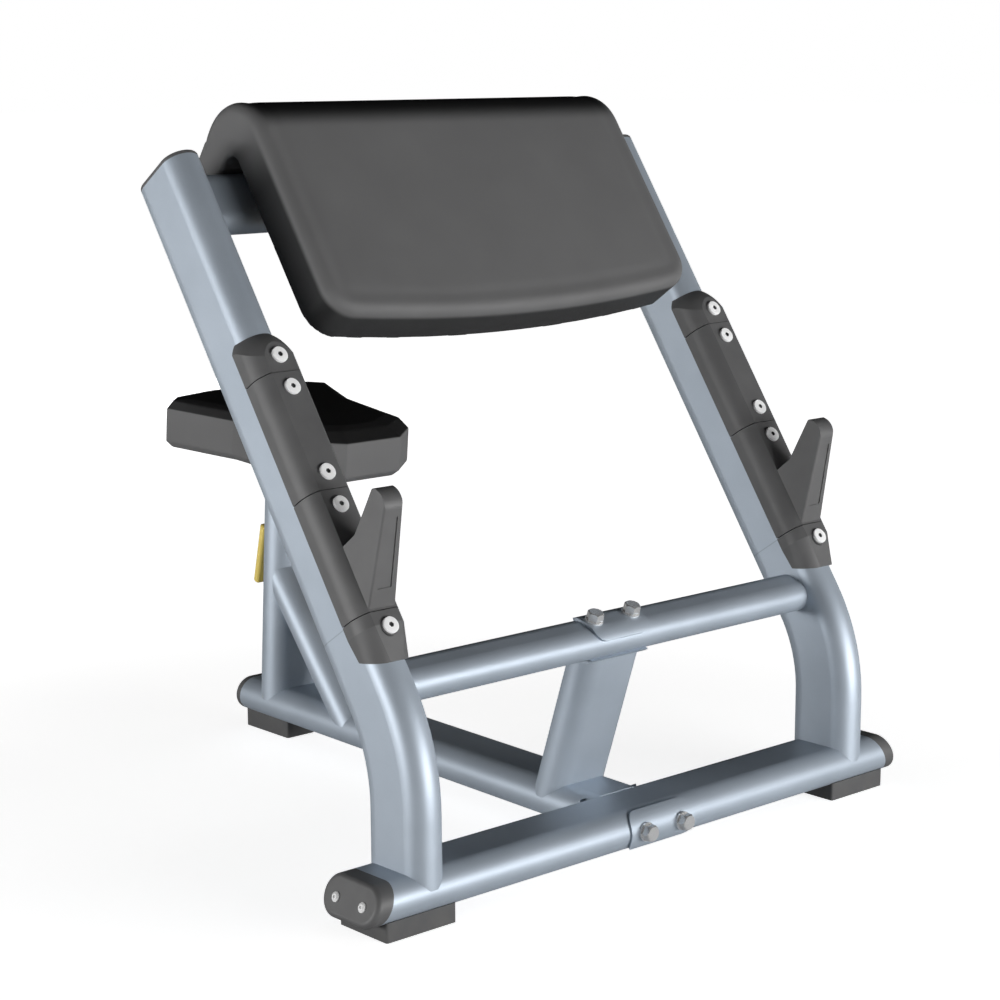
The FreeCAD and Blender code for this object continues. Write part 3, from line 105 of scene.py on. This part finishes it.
class Tree:
    """A material's nodes, made one call at a time."""

    def __init__(self, name):
        self.material = bpy.data.materials.new(name)
        self.material.use_nodes = True
        self.nodes = self.material.node_tree.nodes
        self.links = self.material.node_tree.links
        self.shader = self.nodes["Principled BSDF"]

    def make(self, kind, settings=None, *values, **named):
        """A node with its settings, its inputs by order or by name, and its outputs by name."""
        node = self.nodes.new(kind)
        for key, value in (settings or {}).items():
            if key == "stops":
                self.set_stops(node, value)
            else:
                setattr(node, key, value)
        for slot, value in list(enumerate(values)) + list(named.items()):
            socket = node.inputs[slot.replace("_", " ") if isinstance(slot, str) else slot]
            self.feed(socket, value)
        return {output.name: Sock(self, output) for output in node.outputs if output.enabled}

    def set_stops(self, node, stops):
        ramp = node.color_ramp
        while len(ramp.elements) < len(stops):
            ramp.elements.new(0.5)
        for element, (place, colour) in zip(ramp.elements, stops):
            element.position = place
            element.color = (*colour, 1)

    def feed(self, socket, value):
        if isinstance(value, Sock):
            self.links.new(value.socket, socket)
        else:
            socket.default_value = value

    def finish(self, **inputs):
        """Feeds the surface shader and gives the material."""
        for name, value in inputs.items():
            self.feed(self.shader.inputs[name.replace("_", " ")], value)
        return self.material

    def place(self, scale=(1, 1, 1)):
        """Object coordinates in metres, stretched by scale."""
        spot = self.make("ShaderNodeTexCoord")["Object"]
        return self.make("ShaderNodeMapping", None, Vector=spot, Scale=scale)["Vector"]

    def in_place(self, place):
        """Object coordinates turned into a piece's own frame, as x, y and z."""
        spot = self.make("ShaderNodeTexCoord")["Object"]
        back = place.inverted()
        local = self.make("ShaderNodeMapping", None, Vector=spot, Location=back.translation,
                          Rotation=back.to_euler())["Vector"]
        parts = self.make("ShaderNodeSeparateXYZ", None, local)
        return parts["X"], parts["Y"], parts["Z"]

    def soft_step(self, value, low, high):
        """0 below low, 1 above high and a smooth rise between."""
        return self.make("ShaderNodeMapRange", smooth_range, value, low, high, 0.0, 1.0)["Result"]

    def noise(self, scale, detail, stretch=(1, 1, 1)):
        return self.make("ShaderNodeTexNoise", None, Vector=self.place(stretch), Scale=scale,
                         Detail=detail)["Fac"]

    def ramp(self, value, *stops):
        """A colour that runs through stops of (place, colour)."""
        return self.make("ShaderNodeValToRGB", {"stops": stops}, Fac=value)["Color"]

    def blend(self, share, first, second):
        """Share 0 gives the first colour and share 1 the second."""
        made = self.nodes.new("ShaderNodeMix")
        made.data_type = "RGBA"
        self.feed(made.inputs[0], share)
        self.feed(made.inputs[6], first if isinstance(first, Sock) else (*first, 1))
        self.feed(made.inputs[7], second if isinstance(second, Sock) else (*second, 1))
        return Sock(self, made.outputs[2])

    def bump(self, height, strength, distance):
        return self.make("ShaderNodeBump", None, Height=height, Strength=strength,
                         Distance=distance)["Normal"]


# Finishes

seam_along = 0.1553
seam_half = 0.0004
seam_blur = 0.0010
frame_middle = 0.34


def silver_paint():
    """Satin metallic paint with a fine flake, and the weld seam round each upright under its guard."""
    tree = Tree("satin_silver_paint")
    flake = tree.noise(2600, 1.0)
    cloud = tree.noise(14, 2.0)
    tone = tree.ramp(flake * 0.5 + cloud * 0.5, (0.36, (0.405, 0.462, 0.528)), (0.64, (0.455, 0.515, 0.585)))
    peel = tree.noise(420, 1.5)
    across, along, _ = tree.in_place(incline_place)
    on_uprights = across.size() > frame_middle
    seam = tree.soft_step((along - seam_along).size() * -1, -seam_blur, -seam_half) * on_uprights
    return tree.finish(Base_Color=tree.blend(seam * 0.4, tone, (0.17, 0.20, 0.24)), Metallic=0.45,
                       Roughness=0.5 + (cloud - 0.5) * 0.06,
                       Normal=tree.bump(peel - seam * 2, 0.04, 0.0004))


def dark_plastic():
    """Moulded plastic with a fine spark-eroded grain."""
    tree = Tree("moulded_dark_plastic")
    grain = tree.noise(1500, 3.0)
    cloud = tree.noise(25, 2.0)
    tone = tree.ramp(cloud, (0.3, (0.098, 0.098, 0.099)), (0.7, (0.114, 0.114, 0.115)))
    return tree.finish(Base_Color=tone, Roughness=0.52 + (grain - 0.5) * 0.15,
                       Normal=tree.bump(grain, 0.2, 0.0003))


def foot_rubber():
    tree = Tree("foot_rubber")
    grain = tree.noise(900, 3.0)
    dust = tree.noise(30, 4.0)
    tone = tree.ramp(dust, (0.35, (0.075, 0.075, 0.077)), (0.75, (0.098, 0.097, 0.095)))
    return tree.finish(Base_Color=tone, Roughness=0.72 + (dust - 0.5) * 0.1,
                       Normal=tree.bump(grain, 0.3, 0.0005))


def vinyl(name, painted_shade_share):
    """Smooth grey vinyl with a fine leather grain, with painted shade in near black where the shade share
    says so.
    """
    tree = Tree(name)
    cells = tree.make("ShaderNodeTexVoronoi", {"feature": "DISTANCE_TO_EDGE"}, Vector=tree.place(),
                      Scale=620.0)["Distance"]
    folds = tree.noise(300, 3.0)
    grain = (cells * 6.0).at_most(1.0) * 0.6 + folds * 0.4
    cloud = tree.noise(9, 2.0)
    grey = tree.ramp(cloud, (0.3, (0.128, 0.128, 0.129)), (0.7, (0.142, 0.142, 0.143)))
    # Painted shade: the same vinyl in a near-black tone, blended in where the shade share says so.
    black = tree.ramp(cloud, (0.3, (0.011, 0.011, 0.0115)), (0.7, (0.014, 0.014, 0.0145)))
    return tree.finish(Base_Color=tree.blend(painted_shade_share(tree), grey, black), Specular_IOR_Level=0.25,
                       Roughness=0.58 + (grain - 0.5) * 0.12, Normal=tree.bump(grain, 0.16, 0.0004))


# Where the pad's painted shade lies, and how much of it falls on the foot.
band_heights = (0.092, 0.102)
band_alongs = (0.70, 0.80)
end_edges = (0.285, 0.302)
crown_rises = (0.896, 0.920)
foot_shade_share = 0.8


def pad_painted_shade_share(tree):
    """Painted shade: the pad is dark on the slab's sides and foot, below the front's border, and over the
    roll's crown.
    """
    across, along, height = tree.in_place(incline_place)
    below_front = tree.soft_step(height * -1, -band_heights[1], -band_heights[0])
    down_side = tree.soft_step(along * -1, -band_alongs[1], -band_alongs[0])
    at_end = tree.soft_step(across.size(), *end_edges)
    crown = tree.soft_step(tree.in_place(Matrix())[2], *crown_rises)
    return below_front * down_side * (foot_shade_share + at_end * (1 - foot_shade_share)) + crown * (1 - at_end)


def seat_painted_shade_share(tree):
    """Painted shade: the seat is dark on its top panel and the bevel round it."""
    return tree.soft_step(tree.in_place(seat_place)[2], -0.0005, 0.0015)


def bright_metal(name, metallic, roughness):
    """White plating, with painted shade in a dark tone where a mesh's own socket_depth attribute marks the
    floor of a tool socket.
    """
    tree = Tree(name)
    brushed = tree.noise(900, 2.0, (1, 1, 8))
    tone = tree.ramp(brushed, (0.3, (0.93, 0.93, 0.93)), (0.7, (0.97, 0.97, 0.97)))
    painted_socket_shade = tree.make("ShaderNodeAttribute", {"attribute_name": "socket_depth"})["Fac"]
    return tree.finish(Base_Color=tree.blend((painted_socket_shade * 2).at_most(1), tone, (0.05, 0.05, 0.05)),
                       Metallic=metallic, Roughness=roughness + (brushed - 0.5) * 0.08,
                       Normal=tree.bump(brushed, 0.04, 0.0002))


def plain_steel():
    tree = Tree("plated_steel")
    brushed = tree.noise(500, 3.0, (1, 8, 1))
    tone = tree.ramp(brushed, (0.3, (0.42, 0.43, 0.45)), (0.7, (0.52, 0.53, 0.55)))
    return tree.finish(Base_Color=tone, Metallic=1.0, Roughness=0.38 + (brushed - 0.5) * 0.12,
                       Normal=tree.bump(brushed, 0.08, 0.0003))


def nylon():
    tree = Tree("black_nylon")
    grain = tree.noise(700, 2.0)
    tone = tree.ramp(grain, (0.3, (0.03, 0.03, 0.03)), (0.7, (0.04, 0.04, 0.04)))
    return tree.finish(Base_Color=tone, Roughness=0.45 + (grain - 0.5) * 0.1,
                       Normal=tree.bump(grain, 0.1, 0.0003))


def lever_yellow():
    tree = Tree("yellow_lever_plastic")
    grain = tree.noise(900, 2.0)
    cloud = tree.noise(40, 2.0)
    tone = tree.ramp(cloud, (0.3, (0.82, 0.63, 0.15)), (0.7, (0.89, 0.70, 0.19)))
    return tree.finish(Base_Color=tone, Roughness=0.38 + (grain - 0.5) * 0.1,
                       Normal=tree.bump(grain, 0.1, 0.0003))


def plywood():
    """Birch ply: long grain on the faces and thin layers at the edges."""
    tree = Tree("birch_plywood")
    grain = tree.noise(60, 4.0, (1, 14, 1))
    layers = tree.make("ShaderNodeTexWave", {"bands_direction": "Z"}, Vector=tree.place(), Scale=120.0,
                       Distortion=0.4)["Fac"]
    tone = tree.ramp(grain * 0.8 + layers * 0.2, (0.25, (0.48, 0.33, 0.18)), (0.75, (0.68, 0.52, 0.33)))
    return tree.finish(Base_Color=tone, Roughness=0.6 + (grain - 0.5) * 0.1,
                       Normal=tree.bump(grain, 0.1, 0.0004))


finishes = {
    "frame_paint": silver_paint(),
    "dark_plastic": dark_plastic(),
    "foot_rubber": foot_rubber(),
    "upholstery": vinyl("pad_vinyl", pad_painted_shade_share),
    "plywood": plywood(),
    "bright_screw": bright_metal("white_plated_screw", 0.0, 0.3),
    "plain_steel": plain_steel(),
    "glide_plastic": nylon(),
    "lever_yellow": lever_yellow(),
}
bolt_chrome = bright_metal("bolt_chrome", 0.75, 0.16)


def dress(piece, finish):
    piece.data.materials.clear()
    piece.data.materials.append(finish)


def finish_cad_nodes():
    """Each carried-over node takes its record slot's finish, and the frame's bolts are chromed."""
    for entry in frame["record"]["subparts"]:
        dress(nodes[entry["node"]], finishes[entry["material_slot"]])
    for name in ("frame_bolts", "frame_washers"):
        dress(nodes[name], bolt_chrome)


finish_cad_nodes()


# Handling of pieces


def only(piece):
    """The piece alone is selected and active."""
    bpy.ops.object.select_all(action="DESELECT")
    piece.select_set(True)
    bpy.context.view_layer.objects.active = piece


def pick_faces(piece, wanted):
    """Edit mode with just the wanted faces selected."""
    only(piece)
    bpy.ops.object.mode_set(mode="EDIT")
    bpy.ops.mesh.select_mode(type="FACE")
    bpy.ops.mesh.select_all(action="DESELECT")
    bpy.ops.object.mode_set(mode="OBJECT")
    for face in piece.data.polygons:
        face.select = wanted(face)
    bpy.ops.object.mode_set(mode="EDIT")


def pick_edges(piece, wanted):
    """Edit mode with just the edges selected whose two ends are wanted."""
    only(piece)
    bpy.ops.object.mode_set(mode="EDIT")
    bpy.ops.mesh.select_mode(type="EDGE")
    bpy.ops.mesh.select_all(action="DESELECT")
    bpy.ops.object.mode_set(mode="OBJECT")
    points = piece.data.vertices
    for edge in piece.data.edges:
        edge.select = wanted(points[edge.vertices[0]].co, points[edge.vertices[1]].co)
    bpy.ops.object.mode_set(mode="EDIT")


def object_mode():
    bpy.ops.object.mode_set(mode="OBJECT")


def stands_for(piece, node, body, slot, finish=None):
    """The piece takes the place of a node and moves with its body."""
    dress(piece, finish or finishes[slot])
    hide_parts(node)
    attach(piece, body)


def own_copy(name, node, place):
    """A merged copy of a node's mesh, drawn in its own place's frame."""
    piece = bpy.data.objects.new(name, nodes[node].data.copy())
    bpy.context.collection.objects.link(piece)
    piece.data.transform(place.inverted())
    only(piece)
    bpy.ops.object.mode_set(mode="EDIT")
    bpy.ops.mesh.select_all(action="SELECT")
    bpy.ops.mesh.remove_doubles(threshold=0.00005)
    bpy.ops.mesh.normals_make_consistent(inside=False)
    object_mode()
    return piece


def even_mesh(piece, voxel):
    """An even grid of faces, voxel wide."""
    piece.data.remesh_voxel_size = voxel
    piece.data.remesh_voxel_adaptivity = 0
    only(piece)
    bpy.ops.object.voxel_remesh()


def reshape(piece, rule):
    """Moves each point to where rule puts it, from its place and its normal."""
    points = piece.data.vertices
    places = [rule(point.co.copy(), point.normal.copy()) for point in points]
    for point, place in zip(points, places):
        point.co = place
    piece.data.update()


def apply_modifier(piece, kind, **settings):
    modifier = piece.modifiers.new(kind.lower(), kind)
    for key, value in settings.items():
        setattr(modifier, key, value)
    only(piece)
    bpy.ops.object.modifier_apply(modifier=modifier.name)


def surface_of(piece):
    """The piece's surface, for finding its nearest point."""
    return BVHTree.FromPolygons([point.co.copy() for point in piece.data.vertices],
                                [list(face.vertices) for face in piece.data.polygons])


# Foam and its cover

cover_cloth = {"quality": 4, "mass": 0.3, "tension_stiffness": 25, "compression_stiffness": 25,
               "bending_stiffness": 4, "use_pressure": True, "uniform_pressure_force": 4}
swell_frames = 20


def swell(piece, draw_in, reach, soft):
    """The cover is drawn in, then blown out by a cloth simulation, no point further than reach.

    The foam then holds each point near its own place; soft is the simulation's share.
    """
    whole = [point.co.copy() for point in piece.data.vertices]
    reshape(piece, lambda place, normal: place - normal * draw_in)
    start = [point.co.copy() for point in piece.data.vertices]
    cloth = piece.modifiers.new("cover", "CLOTH")
    for key, value in cover_cloth.items():
        setattr(cloth.settings, key, value)
    cloth.settings.effector_weights.gravity = 0
    cloth.point_cache.frame_start = 1
    cloth.point_cache.frame_end = swell_frames
    for step in range(1, swell_frames + 1):
        bpy.context.scene.frame_set(step)
    only(piece)
    bpy.ops.object.modifier_apply(modifier=cloth.name)
    bpy.context.scene.frame_set(1)
    for point, origin, firm in zip(piece.data.vertices, start, whole):
        move = point.co - origin
        if move.length > reach:
            move = move * (reach / move.length)
        point.co = firm.lerp(origin + move, soft)
    piece.data.update()


# Arm pad, drawn as x, along the incline, height off it

pad_half = 0.305
pad_front = 0.112
pad_low = 0.4915
pad_arch = 2.27
pad_corner = 0.04
roll_along = 0.7644
roll_radius = 0.07
roll_height = pad_front - roll_radius
roll_end_round = 0.013
roll_body_share = 0.85
front_margin = 0.02
end_face_normal = 0.8
border_rise, border_in, border_width = 0.0003, 0.013, 0.006
valley_depth, valley_in, valley_width = 0.0008, 0.027, 0.008
pad_firmness = 0.85
pad_grids = (0.005, 0.006)


def rounded_roll_end(place, _):
    """Draws the roll's rim in towards the pad's two ends."""
    spoke = Vector((0, place.y - roll_along, place.z - roll_height))
    inward = roll_end_round - (pad_half - abs(place.x))
    outside = place.y > roll_along - roll_radius and place.z > 0 and spoke.y + spoke.z > 0
    if inward < 0 or not outside:
        return place
    if place.y < roll_along:
        spoke = Vector((0, 0, place.z - roll_height))
    limit = roll_radius - roll_end_round + math.sqrt(max(0.0, roll_end_round ** 2 - inward ** 2))
    if spoke.length < limit:
        return place
    return place - spoke * (1 - limit / spoke.length)


def pad_edge_distance(x, along):
    """How far a point of the front face is from the pad's outline."""
    side = pad_half - abs(x)
    foot = along - pad_low - x * x / (2 * pad_arch)
    if side < pad_corner and foot < pad_corner:
        return pad_corner - math.hypot(pad_corner - side, pad_corner - foot)
    return min(side, foot)


def bell(offset, width):
    return math.exp(-(offset / width) ** 2)


def border_roll(place, normal):
    """The soft raised border inside the front's edge and the shallow valley beside it."""
    on_front = place.z > pad_front - front_margin and place.y < roll_along + front_margin
    spoke = math.hypot(place.y - roll_along, place.z - roll_height)
    on_roll = place.y > roll_along and spoke > roll_radius * roll_body_share
    if abs(normal.x) > end_face_normal or not (on_front or on_roll):
        return place
    edge = pad_edge_distance(place.x, place.y)
    border = border_rise * bell(edge - border_in, border_width)
    valley = valley_depth * bell(edge - valley_in, valley_width)
    return place + normal * (border - valley)


def soft_arm_pad():
    """The cover is soft over the roll and the front, and is pressed part of the way back on to its solid."""
    pad = own_copy("arm_pad_cover", "arm_pad", incline_place)
    solid = surface_of(pad)
    even_mesh(pad, pad_grids[0])
    reshape(pad, rounded_roll_end)
    even_mesh(pad, pad_grids[1])
    swell(pad, draw_in=0.003, reach=0.005, soft=0.35)
    apply_modifier(pad, "SMOOTH", factor=0.5, iterations=4)
    apply_modifier(pad, "SUBSURF", levels=1, render_levels=1)

    def firm(place, normal):
        return place.lerp(rounded_roll_end(solid.find_nearest(place)[0], normal), pad_firmness)

    reshape(pad, firm)
    reshape(pad, border_roll)
    pad.data.transform(incline_place)
    only(pad)
    bpy.ops.object.shade_smooth()
    stands_for(pad, "arm_pad", "frame", "upholstery")


# Seat, drawn as x, rearwards and up from its bevel's foot

seat_firmness = 0.8
seat_grid = 0.004


def soft_seat():
    """The seat's cover keeps the crisp bevels of its firm foam, so it is pressed back on to its solid."""
    seat = own_copy("seat_cover", "seat_cushion", seat_place)
    solid = surface_of(seat)
    even_mesh(seat, seat_grid)
    swell(seat, draw_in=0.002, reach=0.004, soft=0.25)
    apply_modifier(seat, "SUBSURF", levels=1, render_levels=1)

    def firm(place, _):
        return place.lerp(solid.find_nearest(place)[0], seat_firmness)

    reshape(seat, firm)
    seat.data.transform(seat_place)
    only(seat)
    bpy.ops.object.shade_smooth_by_angle(angle=math.radians(50))
    stands_for(seat, "seat_cushion", "seat", "upholstery", vinyl("seat_vinyl", seat_painted_shade_share))


soft_arm_pad()
soft_seat()


# Button-head screws of the guards

screw_half = 0.01025
screw_rise = 0.0035
screw_rim = 0.0009
socket_half = 0.0030
socket_depth = 0.0024
guard_screw_height = 0.063
guard_screw_stations = (0.4862, 0.4438, 0.3314, 0.2891, 0.1341)
upright_x = 0.3717
hexagon = math.radians(60)


def button_head():
    """One head on z = 0 with a softened rim and a hexagon socket, whose floor is marked for painted shade.
    """
    bpy.ops.object.select_all(action="DESELECT")
    bpy.ops.mesh.primitive_cylinder_add(vertices=48, radius=screw_half, depth=screw_rise,
                                        location=(0, 0, screw_rise / 2))
    head = bpy.context.object
    head.data.transform(Matrix.Translation((0, 0, screw_rise / 2)))
    head.location = (0, 0, 0)
    top = screw_rise - screw_rim / 10
    pick_edges(head, lambda first, second: first.z > top and second.z > top)
    bpy.ops.mesh.bevel(offset=screw_rim, segments=4, affect="EDGES")
    object_mode()
    pick_faces(head, lambda face: face.normal.z > 0.99 and face.center.xy.length < screw_rim)
    bpy.ops.mesh.inset(thickness=screw_half - screw_rim - socket_half)
    object_mode()
    socket = [point for face in head.data.polygons if face.select for point in
              (head.data.vertices[index] for index in face.vertices)]
    for point in socket:
        turn = math.atan2(point.co.y, point.co.x) % hexagon - hexagon / 2
        radius = socket_half / math.cos(turn)
        point.co.xy = point.co.xy.normalized() * radius
    bpy.ops.object.mode_set(mode="EDIT")
    bpy.ops.mesh.extrude_region_move(TRANSFORM_OT_translate={"value": (0, 0, -socket_depth)})
    object_mode()
    socket_shade_layer = head.data.attributes.new("socket_depth", "FLOAT", "POINT")
    socket_floor = screw_rise - socket_depth
    for point in head.data.vertices:
        inside = point.co.xy.length < 2 * socket_half and abs(point.co.z - socket_floor) < socket_floor / 2
        socket_shade_layer.data[point.index].value = 1.0 if inside else 0.0
    bpy.ops.object.shade_smooth_by_angle(angle=math.radians(30))
    return head


def guard_screw_rows():
    pattern = button_head()
    for name, side in (("left", 1), ("right", -1)):
        heads = []
        for along in guard_screw_stations:
            head = pattern.copy()
            head.data = pattern.data.copy()
            bpy.context.collection.objects.link(head)
            spot = Matrix.Translation((side * upright_x, along, guard_screw_height))
            head.data.transform(incline_place @ spot)
            heads.append(head)
        only(heads[0])
        for head in heads:
            head.select_set(True)
        bpy.ops.object.join()
        heads[0].name = name + "_guard_button_screws"
        stands_for(heads[0], name + "_guard_screws", "frame", "bright_screw")
    bpy.data.objects.remove(pattern)


guard_screw_rows()


# Spring of the seat's lock, between the pin's collar and the housing


def lock_return_spring():
    """The lock spring's own merged copy, smooth shaded and moving with the frame."""
    spring = own_copy("lock_return_spring", "lock_spring", Matrix())
    bpy.ops.object.shade_smooth_by_angle(angle=math.radians(60))
    stands_for(spring, "lock_spring", "frame", "plain_steel")
    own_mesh(spring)


lock_return_spring()


# Studio

floor_size = 80
floor_glow_near, floor_glow_far = 0.82, 1.0
floor_glow_reach = (0.55, 1.5)


def pale_floor():
    """A white floor that keeps the bench's shadow: lit by the lamps near by, and plain white further out."""
    bpy.ops.object.select_all(action="DESELECT")
    bpy.ops.mesh.primitive_plane_add(size=floor_size, location=(0, 0, 0))
    floor = bpy.context.object
    floor.name = "studio_floor"
    tree = Tree("white_floor")
    path = tree.make("ShaderNodeLightPath")
    seen = path["Is Camera Ray"].at_least(path["Is Transmission Ray"])
    spot = tree.make("ShaderNodeTexCoord")["Object"]
    away = tree.make("ShaderNodeVectorMath", {"operation": "LENGTH"}, spot)["Value"]
    near = tree.make("ShaderNodeMapRange", smooth_range, away, *floor_glow_reach, floor_glow_near,
                     floor_glow_far)["Result"]
    glow = tree.make("ShaderNodeEmission", None, (1, 1, 1, 1), near * seen)["Emission"]
    base = tree.finish(Base_Color=(0.82, 0.82, 0.82, 1), Roughness=0.9)
    both = tree.make("ShaderNodeAddShader", None, glow, Sock(tree, tree.shader.outputs["BSDF"]))["Shader"]
    tree.feed(tree.nodes["Material Output"].inputs["Surface"], both)
    floor.data.materials.append(base)


pale_floor()


def soft_light(name, place, aim, size, power, glossy=False):
    """A rectangular lamp, seen in reflections only where glossy is set."""
    data = bpy.data.lights.new(name, "AREA")
    data.shape = "RECTANGLE"
    data.size, data.size_y = size
    data.energy = power
    lamp = bpy.data.objects.new(name, data)
    bpy.context.collection.objects.link(lamp)
    lamp.location = place
    lamp.rotation_euler = (Vector(aim) - Vector(place)).to_track_quat("-Z", "Y").to_euler()
    lamp.visible_glossy = glossy


soft_light("front_softbox", (1.0, -4.1, 0.42), (0, 0, 0.42), (3.0, 0.8), 150, True)
soft_light("left_softbox", (-4.1, 0.9, 0.42), (0, 0, 0.42), (3.0, 0.8), 110, True)
soft_light("right_softbox", (4.0, -1.0, 0.5), (0, 0, 0.45), (2.4, 0.9), 34)
soft_light("back_softbox", (0.8, 4.0, 0.45), (0, 0, 0.45), (3.0, 0.8), 26)


world_level = 0.45
behind = (-0.66, -0.75, 0)
eye_band = (0.02, 0.28, 1.0, 0.03)
behind_band = (-0.95, -0.5, 0.12, 1.0)


def pale_world():
    """A soft surround that the camera sees as white: bright at eye level, dim overhead and behind."""
    world = bpy.data.worlds.new("studio_world")
    bpy.context.scene.world = world
    world.use_nodes = True
    made = world.node_tree.nodes
    link = world.node_tree.links.new

    def reach(value, *span):
        node = made.new("ShaderNodeMapRange")
        node.interpolation_type = smooth_range["interpolation_type"]
        link(value, node.inputs[0])
        for slot, number in enumerate(span, 1):
            node.inputs[slot].default_value = number
        return node.outputs[0]

    def join(operation, first, second):
        node = made.new("ShaderNodeMath")
        node.operation = operation
        link(first, node.inputs[0])
        if isinstance(second, float):
            node.inputs[1].default_value = second
        else:
            link(second, node.inputs[1])
        return node.outputs[0]

    path = made.new("ShaderNodeLightPath").outputs
    seen = join("MAXIMUM", path["Is Camera Ray"], path["Is Transmission Ray"])
    direction = made.new("ShaderNodeTexCoord").outputs["Generated"]
    split = made.new("ShaderNodeSeparateXYZ")
    link(direction, split.inputs[0])
    facing = made.new("ShaderNodeVectorMath")
    facing.operation = "DOT_PRODUCT"
    facing.inputs[1].default_value = behind
    link(direction, facing.inputs[0])
    level = join("MULTIPLY", reach(split.outputs["Z"], *eye_band),
                 reach(facing.outputs["Value"], *behind_band))
    strength = made.new("ShaderNodeMix")
    link(seen, strength.inputs[0])
    link(join("MULTIPLY", level, world_level), strength.inputs[2])
    strength.inputs[3].default_value = 1.0
    made["Background"].inputs["Color"].default_value = (1, 1, 1, 1)
    link(strength.outputs[0], made["Background"].inputs["Strength"])


pale_world()


# Camera at the photograph's viewing angle

photo_azimuth = -41.6325
photo_elevation = 12.1178
photo_roll = -0.3411
photo_lens = 84.152
photo_shift_x = 0.00926
photo_shift_y = 0.06325
photo_camera = Vector((-2.00195, -2.36978, 0.97382))


def photo_view():
    """The camera fitted to the photograph."""
    data = bpy.data.cameras.new("photo_camera")
    data.sensor_width = 36
    data.lens = photo_lens
    data.shift_x = photo_shift_x
    data.shift_y = photo_shift_y
    data.clip_end = 100
    camera = bpy.data.objects.new("photo_camera", data)
    bpy.context.collection.objects.link(camera)
    turn, rise, roll = map(math.radians, (photo_azimuth, photo_elevation, photo_roll))
    back = Vector((math.sin(turn) * math.cos(rise), -math.cos(turn) * math.cos(rise), math.sin(rise)))
    level = (-back).cross(Vector((0, 0, 1))).normalized()
    upright = level.cross(-back)
    right = level * math.cos(roll) + upright * math.sin(roll)
    up = upright * math.cos(roll) - level * math.sin(roll)
    turned = Matrix((right, up, back)).transposed().to_4x4()
    camera.matrix_world = Matrix.Translation(photo_camera) @ turned
    bpy.context.scene.camera = camera


photo_view()
bpy.context.scene.view_settings.view_transform = "Standard"
